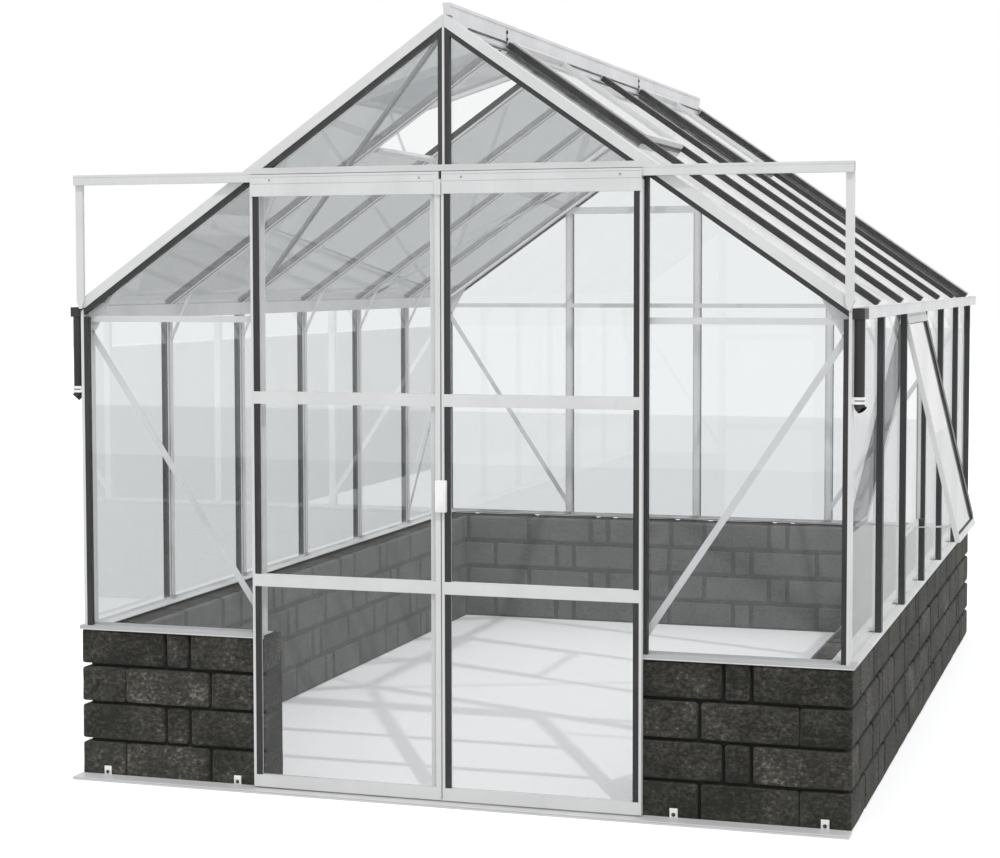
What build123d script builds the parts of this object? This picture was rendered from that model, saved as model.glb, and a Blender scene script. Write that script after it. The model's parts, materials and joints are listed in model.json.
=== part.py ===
"""Aluminium glasshouse on a low block wall, with double sliding doors.

Millimetres, +Z up, +Y runs from the doors to the rear gable.
The origin is on the ground at the middle of the door threshold's underside.
"""

import os
from math import atan2, cos, hypot, radians, sin, tan

from build123d import *

os.makedirs("parts", exist_ok=True)

# ---------------------------------------------------------------- driving sizes
bay = 745                    # spacing of the glazing bars, on the walls and the roof
bays_across = 4
bays_deep = 6
eaves_height = 1860          # top of the roof strips over the side frame line
ridge_height = 2902          # where the two planes of strip tops would meet

course_height = 148          # one course of wall blocks
courses = 4
wall_thickness = 190
wall_proud = 15              # wall face beyond the aluminium frame line
doorway_half_width = 725     # from the centre line to a wall end

glass_thickness = 4
strip_width = 18             # black glazing strips either side of each bar's nose
strip_height = 25
side_rise = 17               # strip tops of the side walls outside the frame line
gable_rise = 10              # strip tops of the gables outside the frame line
bar_depth = 40               # from the strip tops in to a bar's foot
nose_width = 8
nose_proud = 4               # noses of the gable bars, outside the strip tops
cap_thickness = 3            # black cap over the noses of the side and roof bars
flange_width = 40
flange_thickness = 3
web_thickness = 6
foot_width = 24
fit_gap = 1                  # free space round the edge of each pane

post_fin_width = 12          # white corner fin of a corner post
post_fin_depth = 60
post_seat_reach = 40
post_seat_thickness = 8
verge_cap_width = 59
verge_face_drop = 30
verge_seat = 17
verge_rise = 6

base_flange_thickness = 3
base_flange_inset = 75       # inner edge of the base flange, in from the frame line
base_upstand = 10
base_lip = 13

gable_rail_height = 24       # horizontals between the gable bars
gable_rail_drop = 78         # their underside below the eaves
rear_rail_height = 40        # the rear gable's rail at the level of the door head
head_drop = 66               # door head's underside below the roof over the jambs
head_height = 48

ridge_cap_width = 24
ridge_cap_rise = 52
ridge_lip_width = 30
ridge_lip_height = 12
ridge_setback = 25           # the cap starts this far behind the frame line

gutter_drop = 58             # gutter's underside below the eaves
gutter_height = 46
gutter_reach = 40            # outer face of the gutter beyond the frame line
gutter_wall = 3
gutter_overhang = 20
eaves_beam_width = 45        # from the frame line to the beam's inner face
eaves_lip_drop = 13          # the beam's inner lip hangs this far below the gutter
eaves_lip_thickness = 10
hopper_length = 107
hopper_height = 37
hopper_overhang = 12         # hopper starts this far in front of the frame line
pipe_diameter = 38
pipe_wall = 3
pipe_length = 295
clip_height = 25
clip_wall = 4
shoe_drop = 20               # middle of the outlet below the pipe's end
shoe_throw = 13
shoe_angle = 40              # of the outlet's rim from level

vent_bays = (1, 4)
vent_length = 662
vent_depth = 35
vent_member = 25
vent_side_gap = 2
vent_hinge_gap = 0.3         # between a vent's top edge and the ridge cap's plate
vent_sill_gap = 4
vent_sill_width = 22
vent_sill_height = 18
open_vent_angle = 17.5       # the front vent of the left slope stands open
stay_width = 12
stay_thickness = 4

window_bay = 2
window_sill_level = 850
window_sill_height = 22
window_head_height = 20
window_frame_depth = 18
window_lap = 40              # the sash hangs this far below the top of its sill
window_depth = 20
window_member = 26
window_head_member = 45
window_side_gap = 3
window_angle = 13.5
hinge_gap = 0.3

brace_width = 25
brace_thickness = 3
gable_brace_drop = 136       # braces' upper ends below the eaves
gable_brace_rise = 14        # braces' lower ends above the base rail
side_brace_drop = 305
side_brace_rise = 45
knee_drop = 175
knee_angle = 64.8
knee_width = 12
knee_thickness = 6
roof_brace_width = 25
roof_brace_leg = 12
gusset_thickness = 3         # plates in the upper corners of the gables
gusset_drop = 88             # their corner at the post below the eaves
gusset_reach = 107           # their width under the verge

threshold_depth = 80
threshold_height = 12
bracket_width = 30
bracket_height = 33
bracket_thickness = 3
bracket_places = (-1392, -839, 867, 1410)

leaf_edge = 755              # outer edge of a closed leaf, from the centre line
leaf_gap = 5                 # between the two closed leaves
leaf_front = 50              # front of the stiles outside the frame line
leaf_back = 24
leaf_bottom_gap = 6          # above the threshold
leaf_nose_width = 10
leaf_strip_width = 22
leaf_glass_inset = 12        # from the front of the stiles to the front of the glass
leaf_strip_inset = 2
leaf_rail_height = 46
mid_rail_level = 1478
low_rail_level = 786
leaf_hang = 14               # free height between a leaf and the track
top_rail_height = 40
fascia_lap = 27              # fascia's top edge above the underside of the track
fascia_thickness = 4
fascia_inset = 3             # fascia's ends inside the leaf's outer edge
handle_width = 42
handle_height = 118
handle_bottom = 1090
handle_depth = 18
handle_clearance = 6

track_drop = 6               # track's underside below the door head's
track_height = 38
track_depth = 31
track_wall = 3
track_lip = 6
track_top_lip = 9
track_end = 7                # track ends beyond the frame line
upright_width = 30
upright_depth = 15
upright_lap = 27             # upright's foot below the eaves
roller_diameter = 24
roller_width = 18
roller_gap = 0.3             # running gap above the track
axle_diameter = 8
roller_places = (110, 650)

# ------------------------------------------------------------- derived geometry
half_width = bay * bays_across / 2
length = bay * bays_deep
front = threshold_depth / 2 + wall_proud       # front frame line
rear = front + length
middle_y = (front + rear) / 2

slope = atan2(ridge_height - eaves_height, half_width)
slope_length = hypot(half_width, ridge_height - eaves_height)
down_slope = (cos(slope), 0, -sin(slope))

seat = strip_height + glass_thickness          # from strip tops in to the glass seat
# places measured in from the frame line: bars' inner faces, panes' inner and outer faces
side_back = bar_depth - side_rise
side_glass_line = seat - side_rise
side_glass_face = side_glass_line - glass_thickness
gable_back = bar_depth - gable_rise
gable_glass_line = seat - gable_rise
gable_glass_face = gable_glass_line - glass_thickness

gutter_bottom = eaves_height - gutter_drop
gutter_top = gutter_bottom + gutter_height
gable_rail_level = eaves_height - gable_rail_drop
head_level = eaves_height + (half_width - bay) * tan(slope) - head_drop
track_bottom = head_level - track_drop
leaf_top = track_bottom - leaf_hang
top_rail_level = leaf_top - top_rail_height

wall_height = course_height * courses
wall_half = half_width + wall_proud
base_top = wall_height + base_flange_thickness
pane_foot = base_top + 2 * fit_gap
corner_inside = half_width - side_back
post_inner = half_width - post_fin_width


def bar_y(index):
    """Place of glazing bar number index, counted from the front frame line."""
    return front + bay * index


def roof_z(x, offset):
    """Height over x of the plane that lies offset outside the roof's strip tops."""
    return ridge_height - x * tan(slope) + offset / cos(slope)


def roof_x(z, offset):
    """Place at height z on the plane that lies offset outside the strip tops."""
    return (ridge_height - z + offset / cos(slope)) / tan(slope)


def roof_plane(y=0):
    """Section plane across the right slope: local x is Y, local y points outwards."""
    return Plane(origin=(0, y, ridge_height), x_dir=(0, 1, 0), z_dir=down_slope)


def slope_plane(side, y):
    """Plane across the building: local x runs down one slope, local y outwards."""
    down = (side * cos(slope), 0, -sin(slope))
    return Plane(origin=(0, y, ridge_height), x_dir=down, z_dir=(0, -side, 0))


def upright_plane(y):
    """Plane across the building at y, facing the front: local x is X, local y is Z."""
    return Plane(origin=(0, y, 0), x_dir=(1, 0, 0), z_dir=(0, -1, 0))


def side_plane(index, z):
    """Section plane of a side bar: local y points out of the right wall."""
    place = (half_width + side_rise, bar_y(index), z)
    return Plane(origin=place, x_dir=(0, -1, 0), z_dir=(0, 0, 1))


def gable_plane(x, y, outwards, z):
    """Section plane of a gable bar: local y points outwards, -1 front and 1 rear."""
    return Plane(origin=(x, y, z), x_dir=(outwards, 0, 0), z_dir=(0, 0, 1))


centre_cut = Plane(origin=(fit_gap / 2, 0, 0), z_dir=(1, 0, 0))
ridge_side = Plane(origin=(ridge_cap_width / 2, 0, 0), z_dir=(1, 0, 0))
mid_length = Plane(origin=(0, middle_y, 0), z_dir=(0, 1, 0))


def block(x, y, z):
    """A box between two corners on each axis, added to the part being built."""
    with Locations(((x[0] + x[1]) / 2, (y[0] + y[1]) / 2, (z[0] + z[1]) / 2)):
        Box(abs(x[1] - x[0]), abs(y[1] - y[0]), abs(z[1] - z[0]))


def panel(x, y):
    """A rectangle between two corners, added to the sketch being drawn."""
    with Locations(((x[0] + x[1]) / 2, (y[0] + y[1]) / 2)):
        Rectangle(abs(x[1] - x[0]), abs(y[1] - y[0]))


def outline(points):
    """A closed straight-sided face, added to the sketch being drawn."""
    Polygon(*points, align=None)


def bar_profile(nose_top):
    """Glazing bar: nose, glass flange, web and foot; local y = 0 at the strip tops."""
    half = [
        (nose_width / 2, nose_top),
        (nose_width / 2, -seat),
        (flange_width / 2, -seat),
        (flange_width / 2, -seat - flange_thickness),
        (web_thickness / 2, -seat - flange_thickness),
        (web_thickness / 2, -bar_depth + flange_thickness),
        (foot_width / 2, -bar_depth + flange_thickness),
        (foot_width / 2, -bar_depth),
    ]
    outline(half + [(-u, v) for u, v in reversed(half)])


def gable_outline(points, offset):
    """Points of a piece under the right slope, closed along a line below the strip tops."""
    last = points[-1][0]
    first = points[0][0]
    outline(points + [(last, roof_z(last, -offset)), (first, roof_z(first, -offset))])


def save(part, name):
    """Label a finished piece and write it to its own file."""
    part.part.label = name
    export_step(part.part, f"parts/{name}.step")


# ------------------------------------------------------------------ block walls
with BuildPart() as front_walls:
    block(
        (doorway_half_width, wall_half),
        (front - wall_proud, front - wall_proud + wall_thickness),
        (0, wall_height),
    )
    mirror(about=Plane.YZ)
save(front_walls, "front_walls")

with BuildPart() as side_walls:
    block(
        (wall_half - wall_thickness, wall_half),
        (front - wall_proud + wall_thickness, rear + wall_proud - wall_thickness),
        (0, wall_height),
    )
    mirror(about=Plane.YZ)
save(side_walls, "side_walls")

with BuildPart() as rear_wall:
    block(
        (-wall_half, wall_half),
        (rear + wall_proud - wall_thickness, rear + wall_proud),
        (0, wall_height),
    )
save(rear_wall, "rear_wall")

# ------------------------------------------------------- base rails on the wall
corner_reach = gable_back + post_seat_reach    # corner pieces' length along a side
# upstands' outer faces, in from the frame line
side_upstand = side_glass_line + flange_thickness
gable_upstand = gable_glass_line + flange_thickness

with BuildPart() as side_base_rails:
    with BuildSketch(upright_plane(rear - corner_reach)):
        panel((half_width - base_flange_inset, wall_half), (wall_height, base_top))
        panel(
            (wall_half, wall_half + base_flange_thickness),
            (wall_height - base_lip, base_top),
        )
        panel(
            (half_width - side_upstand - flange_thickness, half_width - side_upstand),
            (base_top, base_top + base_upstand),
        )
    extrude(amount=length - 2 * corner_reach)
    mirror(about=Plane.YZ)
save(side_base_rails, "side_base_rails")

with BuildPart() as gable_base_rails:
    # the rear rail is one length, and the front one stops either side of the doorway
    for inner, y, inwards in ((doorway_half_width, front, 1), (0, rear, -1)):
        lip_y = y - inwards * wall_proud
        block((inner, wall_half), (lip_y, y + inwards * corner_reach), (wall_height, base_top))
        block(
            (inner, wall_half + base_flange_thickness),
            (lip_y, lip_y - inwards * base_flange_thickness),
            (wall_height - base_lip, base_top),
        )
        block(
            (wall_half, wall_half + base_flange_thickness),
            (lip_y, y + inwards * corner_reach),
            (wall_height - base_lip, base_top),
        )
        upstand_y = y + inwards * gable_upstand
        block(
            (inner, corner_inside),
            (upstand_y, upstand_y + inwards * flange_thickness),
            (base_top, base_top + base_upstand),
        )
    mirror(about=Plane.YZ)
save(gable_base_rails, "gable_base_rails")

# ---------------------------------------------------------------- posts and bars
with BuildPart() as roof_zone:
    # the space of the roof itself, which the tops of the gable members stop under
    slices = (
        (front - gable_back, front + gable_glass_line, verge_face_drop),
        (front + gable_glass_line, rear - gable_glass_line, bar_depth),
        (rear - gable_glass_line, rear + gable_back, verge_face_drop),
    )
    for start, end, depth in slices:
        with BuildSketch(upright_plane(end)):
            outline(
                [
                    (0, roof_z(0, -depth)),
                    (wall_half, roof_z(wall_half, -depth)),
                    (wall_half, ridge_height),
                    (-wall_half, ridge_height),
                    (-wall_half, roof_z(wall_half, -depth)),
                ]
            )
        extrude(amount=end - start)

with BuildPart() as corner_posts:
    with BuildSketch(Plane.XY.offset(base_top)):
        panel((corner_inside, post_inner), (front + gable_glass_line, front + gable_back))
        panel(
            (post_inner, half_width),
            (front - gable_rise, front - gable_rise + post_fin_depth),
        )
        panel(
            (post_inner - post_seat_thickness, post_inner),
            (front + gable_back, front + corner_reach),
        )
    extrude(amount=eaves_height - base_top)
    add(roof_zone.part, mode=Mode.SUBTRACT)
    mirror(about=mid_length)
    mirror(about=Plane.YZ)
save(corner_posts, "corner_posts")

with BuildPart() as side_bars:
    with BuildSketch(*[side_plane(n, base_top) for n in range(1, bays_deep)]):
        bar_profile(-cap_thickness)
    extrude(amount=gutter_bottom - base_top)
    with Locations(
        (half_width - side_upstand - flange_thickness / 2, middle_y, base_top + base_upstand / 2)
    ):
        Box(flange_thickness, length, base_upstand, mode=Mode.SUBTRACT)
    mirror(about=Plane.YZ)
save(side_bars, "side_bars")

with BuildPart() as door_jambs:
    with BuildSketch(gable_plane(bay, front - gable_rise, -1, base_top)):
        bar_profile(nose_proud)
    extrude(amount=head_level - base_top)
    upstand_mid = front + gable_upstand + flange_thickness / 2
    with Locations((bay, upstand_mid, base_top + base_upstand / 2)):
        Box(flange_width, flange_thickness, base_upstand, mode=Mode.SUBTRACT)
    add(roof_zone.part, mode=Mode.SUBTRACT)
    mirror(about=Plane.YZ)
save(door_jambs, "door_jambs")

with BuildPart() as gable_centre_bar:
    with BuildSketch(gable_plane(0, front - gable_rise, -1, head_level + head_height)):
        bar_profile(nose_proud)
    extrude(amount=ridge_height - head_level - head_height)
    add(roof_zone.part, mode=Mode.SUBTRACT)
save(gable_centre_bar, "gable_centre_bar")

with BuildPart() as rear_gable_bars:
    with BuildSketch(
        *[gable_plane(x, rear + gable_rise, 1, base_top) for x in (-bay, 0, bay)]
    ):
        bar_profile(nose_proud)
    extrude(amount=ridge_height - base_top)
    rear_upstand_mid = rear - gable_upstand - flange_thickness / 2
    with Locations((0, rear_upstand_mid, base_top + base_upstand / 2)):
        Box(2 * half_width, flange_thickness, base_upstand, mode=Mode.SUBTRACT)
    add(roof_zone.part, mode=Mode.SUBTRACT)
save(rear_gable_bars, "rear_gable_bars")

with BuildPart() as door_head:
    block(
        (-bay - nose_width / 2, bay + nose_width / 2),
        (front - gable_rise - nose_proud, front + gable_back),
        (head_level, head_level + head_height),
    )
    add(roof_zone.part, mode=Mode.SUBTRACT)
save(door_head, "door_head")

with BuildPart() as gable_rails:
    # the rails lie behind the bars' flanges and stop against the sides of their feet
    foot_side = foot_width / 2
    low = (gable_rail_level, gable_rail_level + gable_rail_height)
    high = (head_level, head_level + rear_rail_height)
    spans = (
        ((front + gable_upstand, front + gable_back), bay + foot_side, corner_inside, low),
        ((rear - gable_upstand, rear - gable_back), bay + foot_side, corner_inside, low),
        ((rear - gable_upstand, rear - gable_back), foot_side, bay - foot_side, low),
        ((rear - gable_upstand, rear - gable_back), foot_side, bay - foot_side, high),
    )
    for y, x_inner, x_outer, z in spans:
        block((x_inner, x_outer), y, z)
    add(roof_zone.part, mode=Mode.SUBTRACT)
    mirror(about=Plane.YZ)
save(gable_rails, "gable_rails")

# ------------------------------------------------------------------ roof framing
with BuildPart() as verges:
    cap_front = front - gable_rise - nose_proud
    cap_back = cap_front + verge_cap_width
    with BuildSketch(roof_plane()):
        outline(
            [
                (cap_front, verge_rise),
                (cap_back, verge_rise),
                (cap_back, -seat),
                (cap_back + verge_seat, -seat),
                (cap_back + verge_seat, -bar_depth),
                (front + gable_glass_line, -bar_depth),
                (front + gable_glass_line, -verge_face_drop),
                (cap_front, -verge_face_drop),
            ]
        )
    extrude(amount=slope_length)
    split(bisect_by=centre_cut, keep=Keep.TOP)
    mirror(about=mid_length)
    mirror(about=Plane.YZ)
save(verges, "verges")

with BuildPart() as roof_bars:
    with BuildSketch(*[roof_plane(bar_y(n)) for n in range(1, bays_deep)]):
        bar_profile(-cap_thickness)
    extrude(amount=slope_length)
    split(bisect_by=ridge_side, keep=Keep.TOP)
    mirror(about=Plane.YZ)
save(roof_bars, "roof_bars")

with BuildPart() as ridge_cap:
    cap_edge = ridge_cap_width / 2
    body_start = cap_back + verge_seat
    block(
        (-cap_edge, cap_edge),
        (body_start, front + rear - body_start),
        (roof_z(cap_edge, -bar_depth), ridge_height + ridge_cap_rise),
    )
    block(
        (-cap_edge, cap_edge),
        (front + ridge_setback, rear - ridge_setback),
        (roof_z(0, verge_rise), ridge_height + ridge_cap_rise),
    )
    block(
        (-ridge_lip_width / 2, ridge_lip_width / 2),
        (front + ridge_setback, rear - ridge_setback),
        (ridge_height + ridge_cap_rise - ridge_lip_height, ridge_height + ridge_cap_rise),
    )
save(ridge_cap, "ridge_cap")

# ------------------------------------------------------------- gutters and pipes
bar_end_x = half_width - bar_depth * sin(slope)
gutter_face = half_width + gutter_reach
trough_start = front - hopper_overhang + hopper_length
trough_end = rear + gutter_overhang
beam_inside = half_width - eaves_beam_width
lip_foot = gutter_bottom - eaves_lip_drop

with BuildPart() as gutters:
    with BuildSketch(upright_plane(rear - corner_reach)):
        outline(
            [
                (beam_inside, lip_foot),
                (beam_inside + eaves_lip_thickness, lip_foot),
                (beam_inside + eaves_lip_thickness, gutter_bottom),
                (half_width, gutter_bottom),
                (half_width, gutter_bottom + gutter_wall),
                (post_inner, gutter_bottom + gutter_wall),
                (post_inner, roof_z(bar_end_x, -bar_depth)),
                (bar_end_x, roof_z(bar_end_x, -bar_depth)),
                (beam_inside, roof_z(beam_inside, -bar_depth)),
            ]
        )
    extrude(amount=length - 2 * corner_reach)
    with BuildSketch(upright_plane(trough_end)):
        outline(
            [
                (half_width, gutter_bottom),
                (gutter_face, gutter_bottom),
                (gutter_face, gutter_top),
                (gutter_face - gutter_wall, gutter_top),
                (gutter_face - gutter_wall, gutter_bottom + gutter_wall),
                (half_width, gutter_bottom + gutter_wall),
            ]
        )
    extrude(amount=trough_end - trough_start)
    block(
        (half_width, gutter_face),
        (trough_end - gutter_wall, trough_end),
        (gutter_bottom, gutter_top),
    )
    mirror(about=Plane.YZ)
save(gutters, "gutters")

pipe_x = half_width + clip_wall + pipe_diameter / 2
pipe_y = trough_start - hopper_length + pipe_diameter / 2 + clip_wall

with BuildPart() as gutter_hoppers:
    block(
        (half_width, gutter_face + gutter_wall),
        (trough_start - hopper_length, trough_start),
        (gutter_bottom, gutter_bottom + hopper_height),
    )
    with BuildSketch(Plane.XY.offset(gutter_bottom + hopper_height)):
        panel(
            (half_width + gutter_wall, gutter_face),
            (trough_start - hopper_length + gutter_wall, trough_start - gutter_wall),
        )
    extrude(amount=gutter_wall - hopper_height, mode=Mode.SUBTRACT)
    mirror(about=Plane.YZ)
save(gutter_hoppers, "gutter_hoppers")

pipe_foot = gutter_bottom - pipe_length

with BuildPart() as downpipes:
    with BuildSketch(Plane.XY.offset(pipe_foot)):
        with Locations((pipe_x, pipe_y)):
            Circle(pipe_diameter / 2)
            Circle(pipe_diameter / 2 - pipe_wall, mode=Mode.SUBTRACT)
    extrude(amount=pipe_length)
    mirror(about=Plane.YZ)
save(downpipes, "downpipes")

with BuildPart() as pipe_clips:
    with BuildSketch(Plane.XY.offset(pipe_foot)):
        with Locations((pipe_x, pipe_y)):
            Circle(pipe_diameter / 2 + clip_wall)
            Circle(pipe_diameter / 2, mode=Mode.SUBTRACT)
    extrude(amount=clip_height)
    mirror(about=Plane.YZ)
save(pipe_clips, "pipe_clips")

with BuildPart() as pipe_shoes:
    with BuildSketch(Plane.XY.offset(pipe_foot)):
        with Locations((pipe_x, pipe_y)):
            Circle(pipe_diameter / 2)
    # the outlet's rim leans outwards from the wall
    tilt = radians(shoe_angle)
    rim = Plane(
        origin=(pipe_x + shoe_throw, pipe_y, pipe_foot - shoe_drop),
        x_dir=(cos(tilt), 0, sin(tilt)),
        z_dir=(-sin(tilt), 0, cos(tilt)),
    )
    with BuildSketch(rim):
        Circle(pipe_diameter / 2)
    loft()
    mirror(about=Plane.YZ)
save(pipe_shoes, "pipe_shoes")

# ------------------------------------------------------------------------ panes
pane_side = nose_width / 2 + fit_gap           # pane edge from a bar's centre line
pane_top = verge_face_drop + fit_gap           # gable panes stop this far under the roof
post_pane_end = post_inner - fit_gap

with BuildPart() as gable_glass:
    pane_above_head = head_level + head_height + fit_gap
    lower_right = roof_x(pane_above_head, -pane_top)
    apex = (pane_side, roof_z(pane_side, -pane_top))
    with BuildSketch(upright_plane(front + gable_glass_line)):
        gable_outline([(bay + pane_side, pane_foot), (post_pane_end, pane_foot)], pane_top)
        outline([(pane_side, pane_above_head), (lower_right, pane_above_head), apex])
    with BuildSketch(upright_plane(rear - gable_glass_face)):
        gable_outline([(bay + pane_side, pane_foot), (post_pane_end, pane_foot)], pane_top)
        gable_outline([(pane_side, pane_foot), (bay - pane_side, pane_foot)], pane_top)
    extrude(amount=glass_thickness)
    mirror(about=Plane.YZ)
save(gable_glass, "gable_glass")

window_y = (bar_y(window_bay), bar_y(window_bay + 1))
window_sill_top = window_sill_level + window_sill_height
side_ends = [(bar_y(n) + pane_side, bar_y(n + 1) - pane_side) for n in range(bays_deep)]
side_ends[0] = (front - gable_rise + post_fin_depth + fit_gap, side_ends[0][1])
side_ends[-1] = (side_ends[-1][0], rear + gable_rise - post_fin_depth - fit_gap)

with BuildPart() as side_glass:
    for side in (-1, 1):
        for n, ends in enumerate(side_ends):
            has_window = side == 1 and n == window_bay
            top = window_sill_top if has_window else gutter_bottom
            block(
                (side * (half_width - side_glass_line), side * (half_width - side_glass_face)),
                ends,
                (pane_foot, top - fit_gap),
            )
save(side_glass, "side_glass")

vent_top = (ridge_cap_width / 2 + vent_hinge_gap + seat * sin(slope)) / cos(slope)
vent_end = vent_top + vent_length
pane_start = vent_top + fit_gap                # slope distance from the ridge line
roof_ends = [(bar_y(n) + pane_side, bar_y(n + 1) - pane_side) for n in range(bays_deep)]
roof_ends[0] = (cap_back + fit_gap, roof_ends[0][1])
roof_ends[-1] = (roof_ends[-1][0], front + rear - cap_back - fit_gap)

with BuildPart() as roof_glass:
    for n, ends in enumerate(roof_ends):
        upper_edge = vent_end + vent_sill_gap if n in vent_bays else pane_start
        with BuildSketch(slope_plane(1, ends[1])):
            panel((upper_edge, slope_length), (-seat, -strip_height))
        extrude(amount=ends[1] - ends[0])
    mirror(about=Plane.YZ)
save(roof_glass, "roof_glass")

# ------------------------------------------------------ black glazing strips
strip_side = nose_width / 2 + strip_width
verge_strip = verge_face_drop + strip_width    # lower edge of the strips along a verge

with BuildPart() as gable_strips:
    head_top = head_level + head_height
    verge_corner = (roof_x(head_top, -verge_face_drop), head_top)
    verge_corner_low = (roof_x(head_top, -verge_strip), head_top)
    nose = nose_width / 2
    for face_y in (front + gable_glass_face, rear + gable_rise):
        with BuildSketch(upright_plane(face_y)):
            gable_outline([(bay + nose, base_top), (bay + strip_side, base_top)], verge_strip)
            panel((post_inner - strip_width, post_inner), (base_top, gutter_bottom))
            outline(
                [
                    (bay + nose, roof_z(bay + nose, -verge_face_drop)),
                    (post_inner, roof_z(post_inner, -verge_face_drop)),
                    (post_inner, roof_z(post_inner, -verge_strip)),
                    (bay + nose, roof_z(bay + nose, -verge_strip)),
                ]
            )
            if face_y < middle_y:
                gable_outline([(nose, head_top), (strip_side, head_top)], verge_strip)
                outline(
                    [
                        (nose, roof_z(nose, -verge_face_drop)),
                        verge_corner,
                        verge_corner_low,
                        (nose, roof_z(nose, -verge_strip)),
                    ]
                )
            else:
                for inner, outer in ((nose, strip_side), (bay - strip_side, bay - nose)):
                    gable_outline([(inner, base_top), (outer, base_top)], verge_strip)
                outline(
                    [
                        (nose, roof_z(nose, -verge_face_drop)),
                        (bay - nose, roof_z(bay - nose, -verge_face_drop)),
                        (bay - nose, roof_z(bay - nose, -verge_strip)),
                        (nose, roof_z(nose, -verge_strip)),
                    ]
                )
        extrude(amount=strip_height)
    mirror(about=Plane.YZ)
save(gable_strips, "gable_strips")

strip_in = half_width - side_glass_face
strip_out = half_width + side_rise
rear_fin = rear + gable_rise - post_fin_depth

with BuildPart() as side_strips:
    for side in (-1, 1):
        for n in range(1, bays_deep):
            block(
                (side * (strip_out - cap_thickness), side * strip_out),
                (bar_y(n) - nose_width / 2, bar_y(n) + nose_width / 2),
                (base_top, gutter_bottom),
            )
            for hand in (-1, 1):
                faces_window = side == 1 and (n, hand) in ((window_bay, 1), (window_bay + 1, -1))
                top = window_sill_top if faces_window else gutter_bottom
                block(
                    (side * strip_in, side * strip_out),
                    (bar_y(n) + hand * nose_width / 2, bar_y(n) + hand * strip_side),
                    (base_top, top),
                )
        block(
            (side * strip_in, side * strip_out),
            (rear_fin - strip_width, rear_fin),
            (base_top, gutter_bottom),
        )
save(side_strips, "side_strips")

with BuildPart() as roof_strips:
    rear_cap = front + rear - cap_back
    places = [(bar_y(n) - strip_side, bar_y(n) - nose_width / 2, n - 1) for n in range(1, bays_deep)]
    places += [(bar_y(n) + nose_width / 2, bar_y(n) + strip_side, n) for n in range(1, bays_deep)]
    places += [(rear_cap - strip_width, rear_cap, bays_deep - 1)]
    for start, end, n in places:
        with BuildSketch(slope_plane(1, end)):
            panel((pane_start, slope_length), (-strip_height, 0))
        extrude(amount=end - start)
    with BuildSketch(*[slope_plane(1, bar_y(n) + nose_width / 2) for n in range(1, bays_deep)]):
        panel((pane_start, slope_length), (-cap_thickness, 0))
    extrude(amount=nose_width)
    mirror(about=Plane.YZ)
save(roof_strips, "roof_strips")

# ------------------------------------------------------------------- roof vents
vent_width = bay - 2 * strip_side - 2 * vent_side_gap
vents = [
    (side, n, open_vent_angle if (side, n) == (-1, vent_bays[0]) else 0)
    for side in (-1, 1)
    for n in vent_bays
]


def vent_plane(side, n, angle):
    """A vent's own plane: origin mid-hinge, local x down its glass, local z outwards."""
    dip = slope - radians(angle)
    hinge_x = vent_top * cos(slope) - seat * sin(slope)
    hinge = (side * hinge_x, bar_y(n) + bay / 2, ridge_height - vent_top * sin(slope) - seat * cos(slope))
    return Plane(
        origin=hinge,
        x_dir=(side * cos(dip), 0, -sin(dip)),
        z_dir=(side * sin(dip), 0, cos(dip)),
    )


with BuildPart() as roof_vent_frames:
    for side, n, angle in vents:
        with BuildSketch(vent_plane(side, n, angle)):
            panel((0, vent_length), (-vent_width / 2, vent_width / 2))
            with Locations((vent_length / 2, 0)):
                Rectangle(
                    vent_length - 2 * vent_member,
                    vent_width - 2 * vent_member,
                    mode=Mode.SUBTRACT,
                )
        extrude(amount=vent_depth)
save(roof_vent_frames, "roof_vent_frames")

with BuildPart() as roof_vent_glass:
    for side, n, angle in vents:
        with BuildSketch(vent_plane(side, n, angle).offset(vent_depth / 2)):
            with Locations((vent_length / 2, 0)):
                Rectangle(vent_length - 2 * vent_member, vent_width - 2 * vent_member)
        extrude(amount=glass_thickness)
save(roof_vent_glass, "roof_vent_glass")

sill_start = vent_end + vent_sill_gap / 2 - vent_sill_width / 2

with BuildPart() as roof_vent_sills:
    # a cross piece under each vent's lower edge, and packers beside it in place of a pane
    for n in vent_bays:
        for start in (bar_y(n) + nose_width / 2, bar_y(n + 1) - strip_side):
            with BuildSketch(slope_plane(1, start + strip_width)):
                panel((pane_start, vent_end), (-seat, -strip_height))
            extrude(amount=strip_width)
        with BuildSketch(slope_plane(1, bar_y(n + 1) - flange_width / 2)):
            panel(
                (sill_start, sill_start + vent_sill_width),
                (-seat - vent_sill_height, -seat),
            )
        extrude(amount=bay - flange_width)
    mirror(about=Plane.YZ)
save(roof_vent_sills, "roof_vent_sills")

with BuildPart() as roof_vent_stay:
    opening = radians(open_vent_angle)
    stay_y = bar_y(vent_bays[0]) + (bay + stay_thickness) / 2
    sash_face = [
        (vent_top + reach * cos(opening), -seat + reach * sin(opening))
        for reach in (vent_length - vent_member, vent_length - vent_member + stay_width)
    ]
    with BuildSketch(slope_plane(-1, stay_y)):
        outline(
            [
                (sill_start, -seat),
                (sill_start + stay_width, -seat),
                sash_face[1],
                sash_face[0],
            ]
        )
    extrude(amount=-stay_thickness)
save(roof_vent_stay, "roof_vent_stay")

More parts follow.
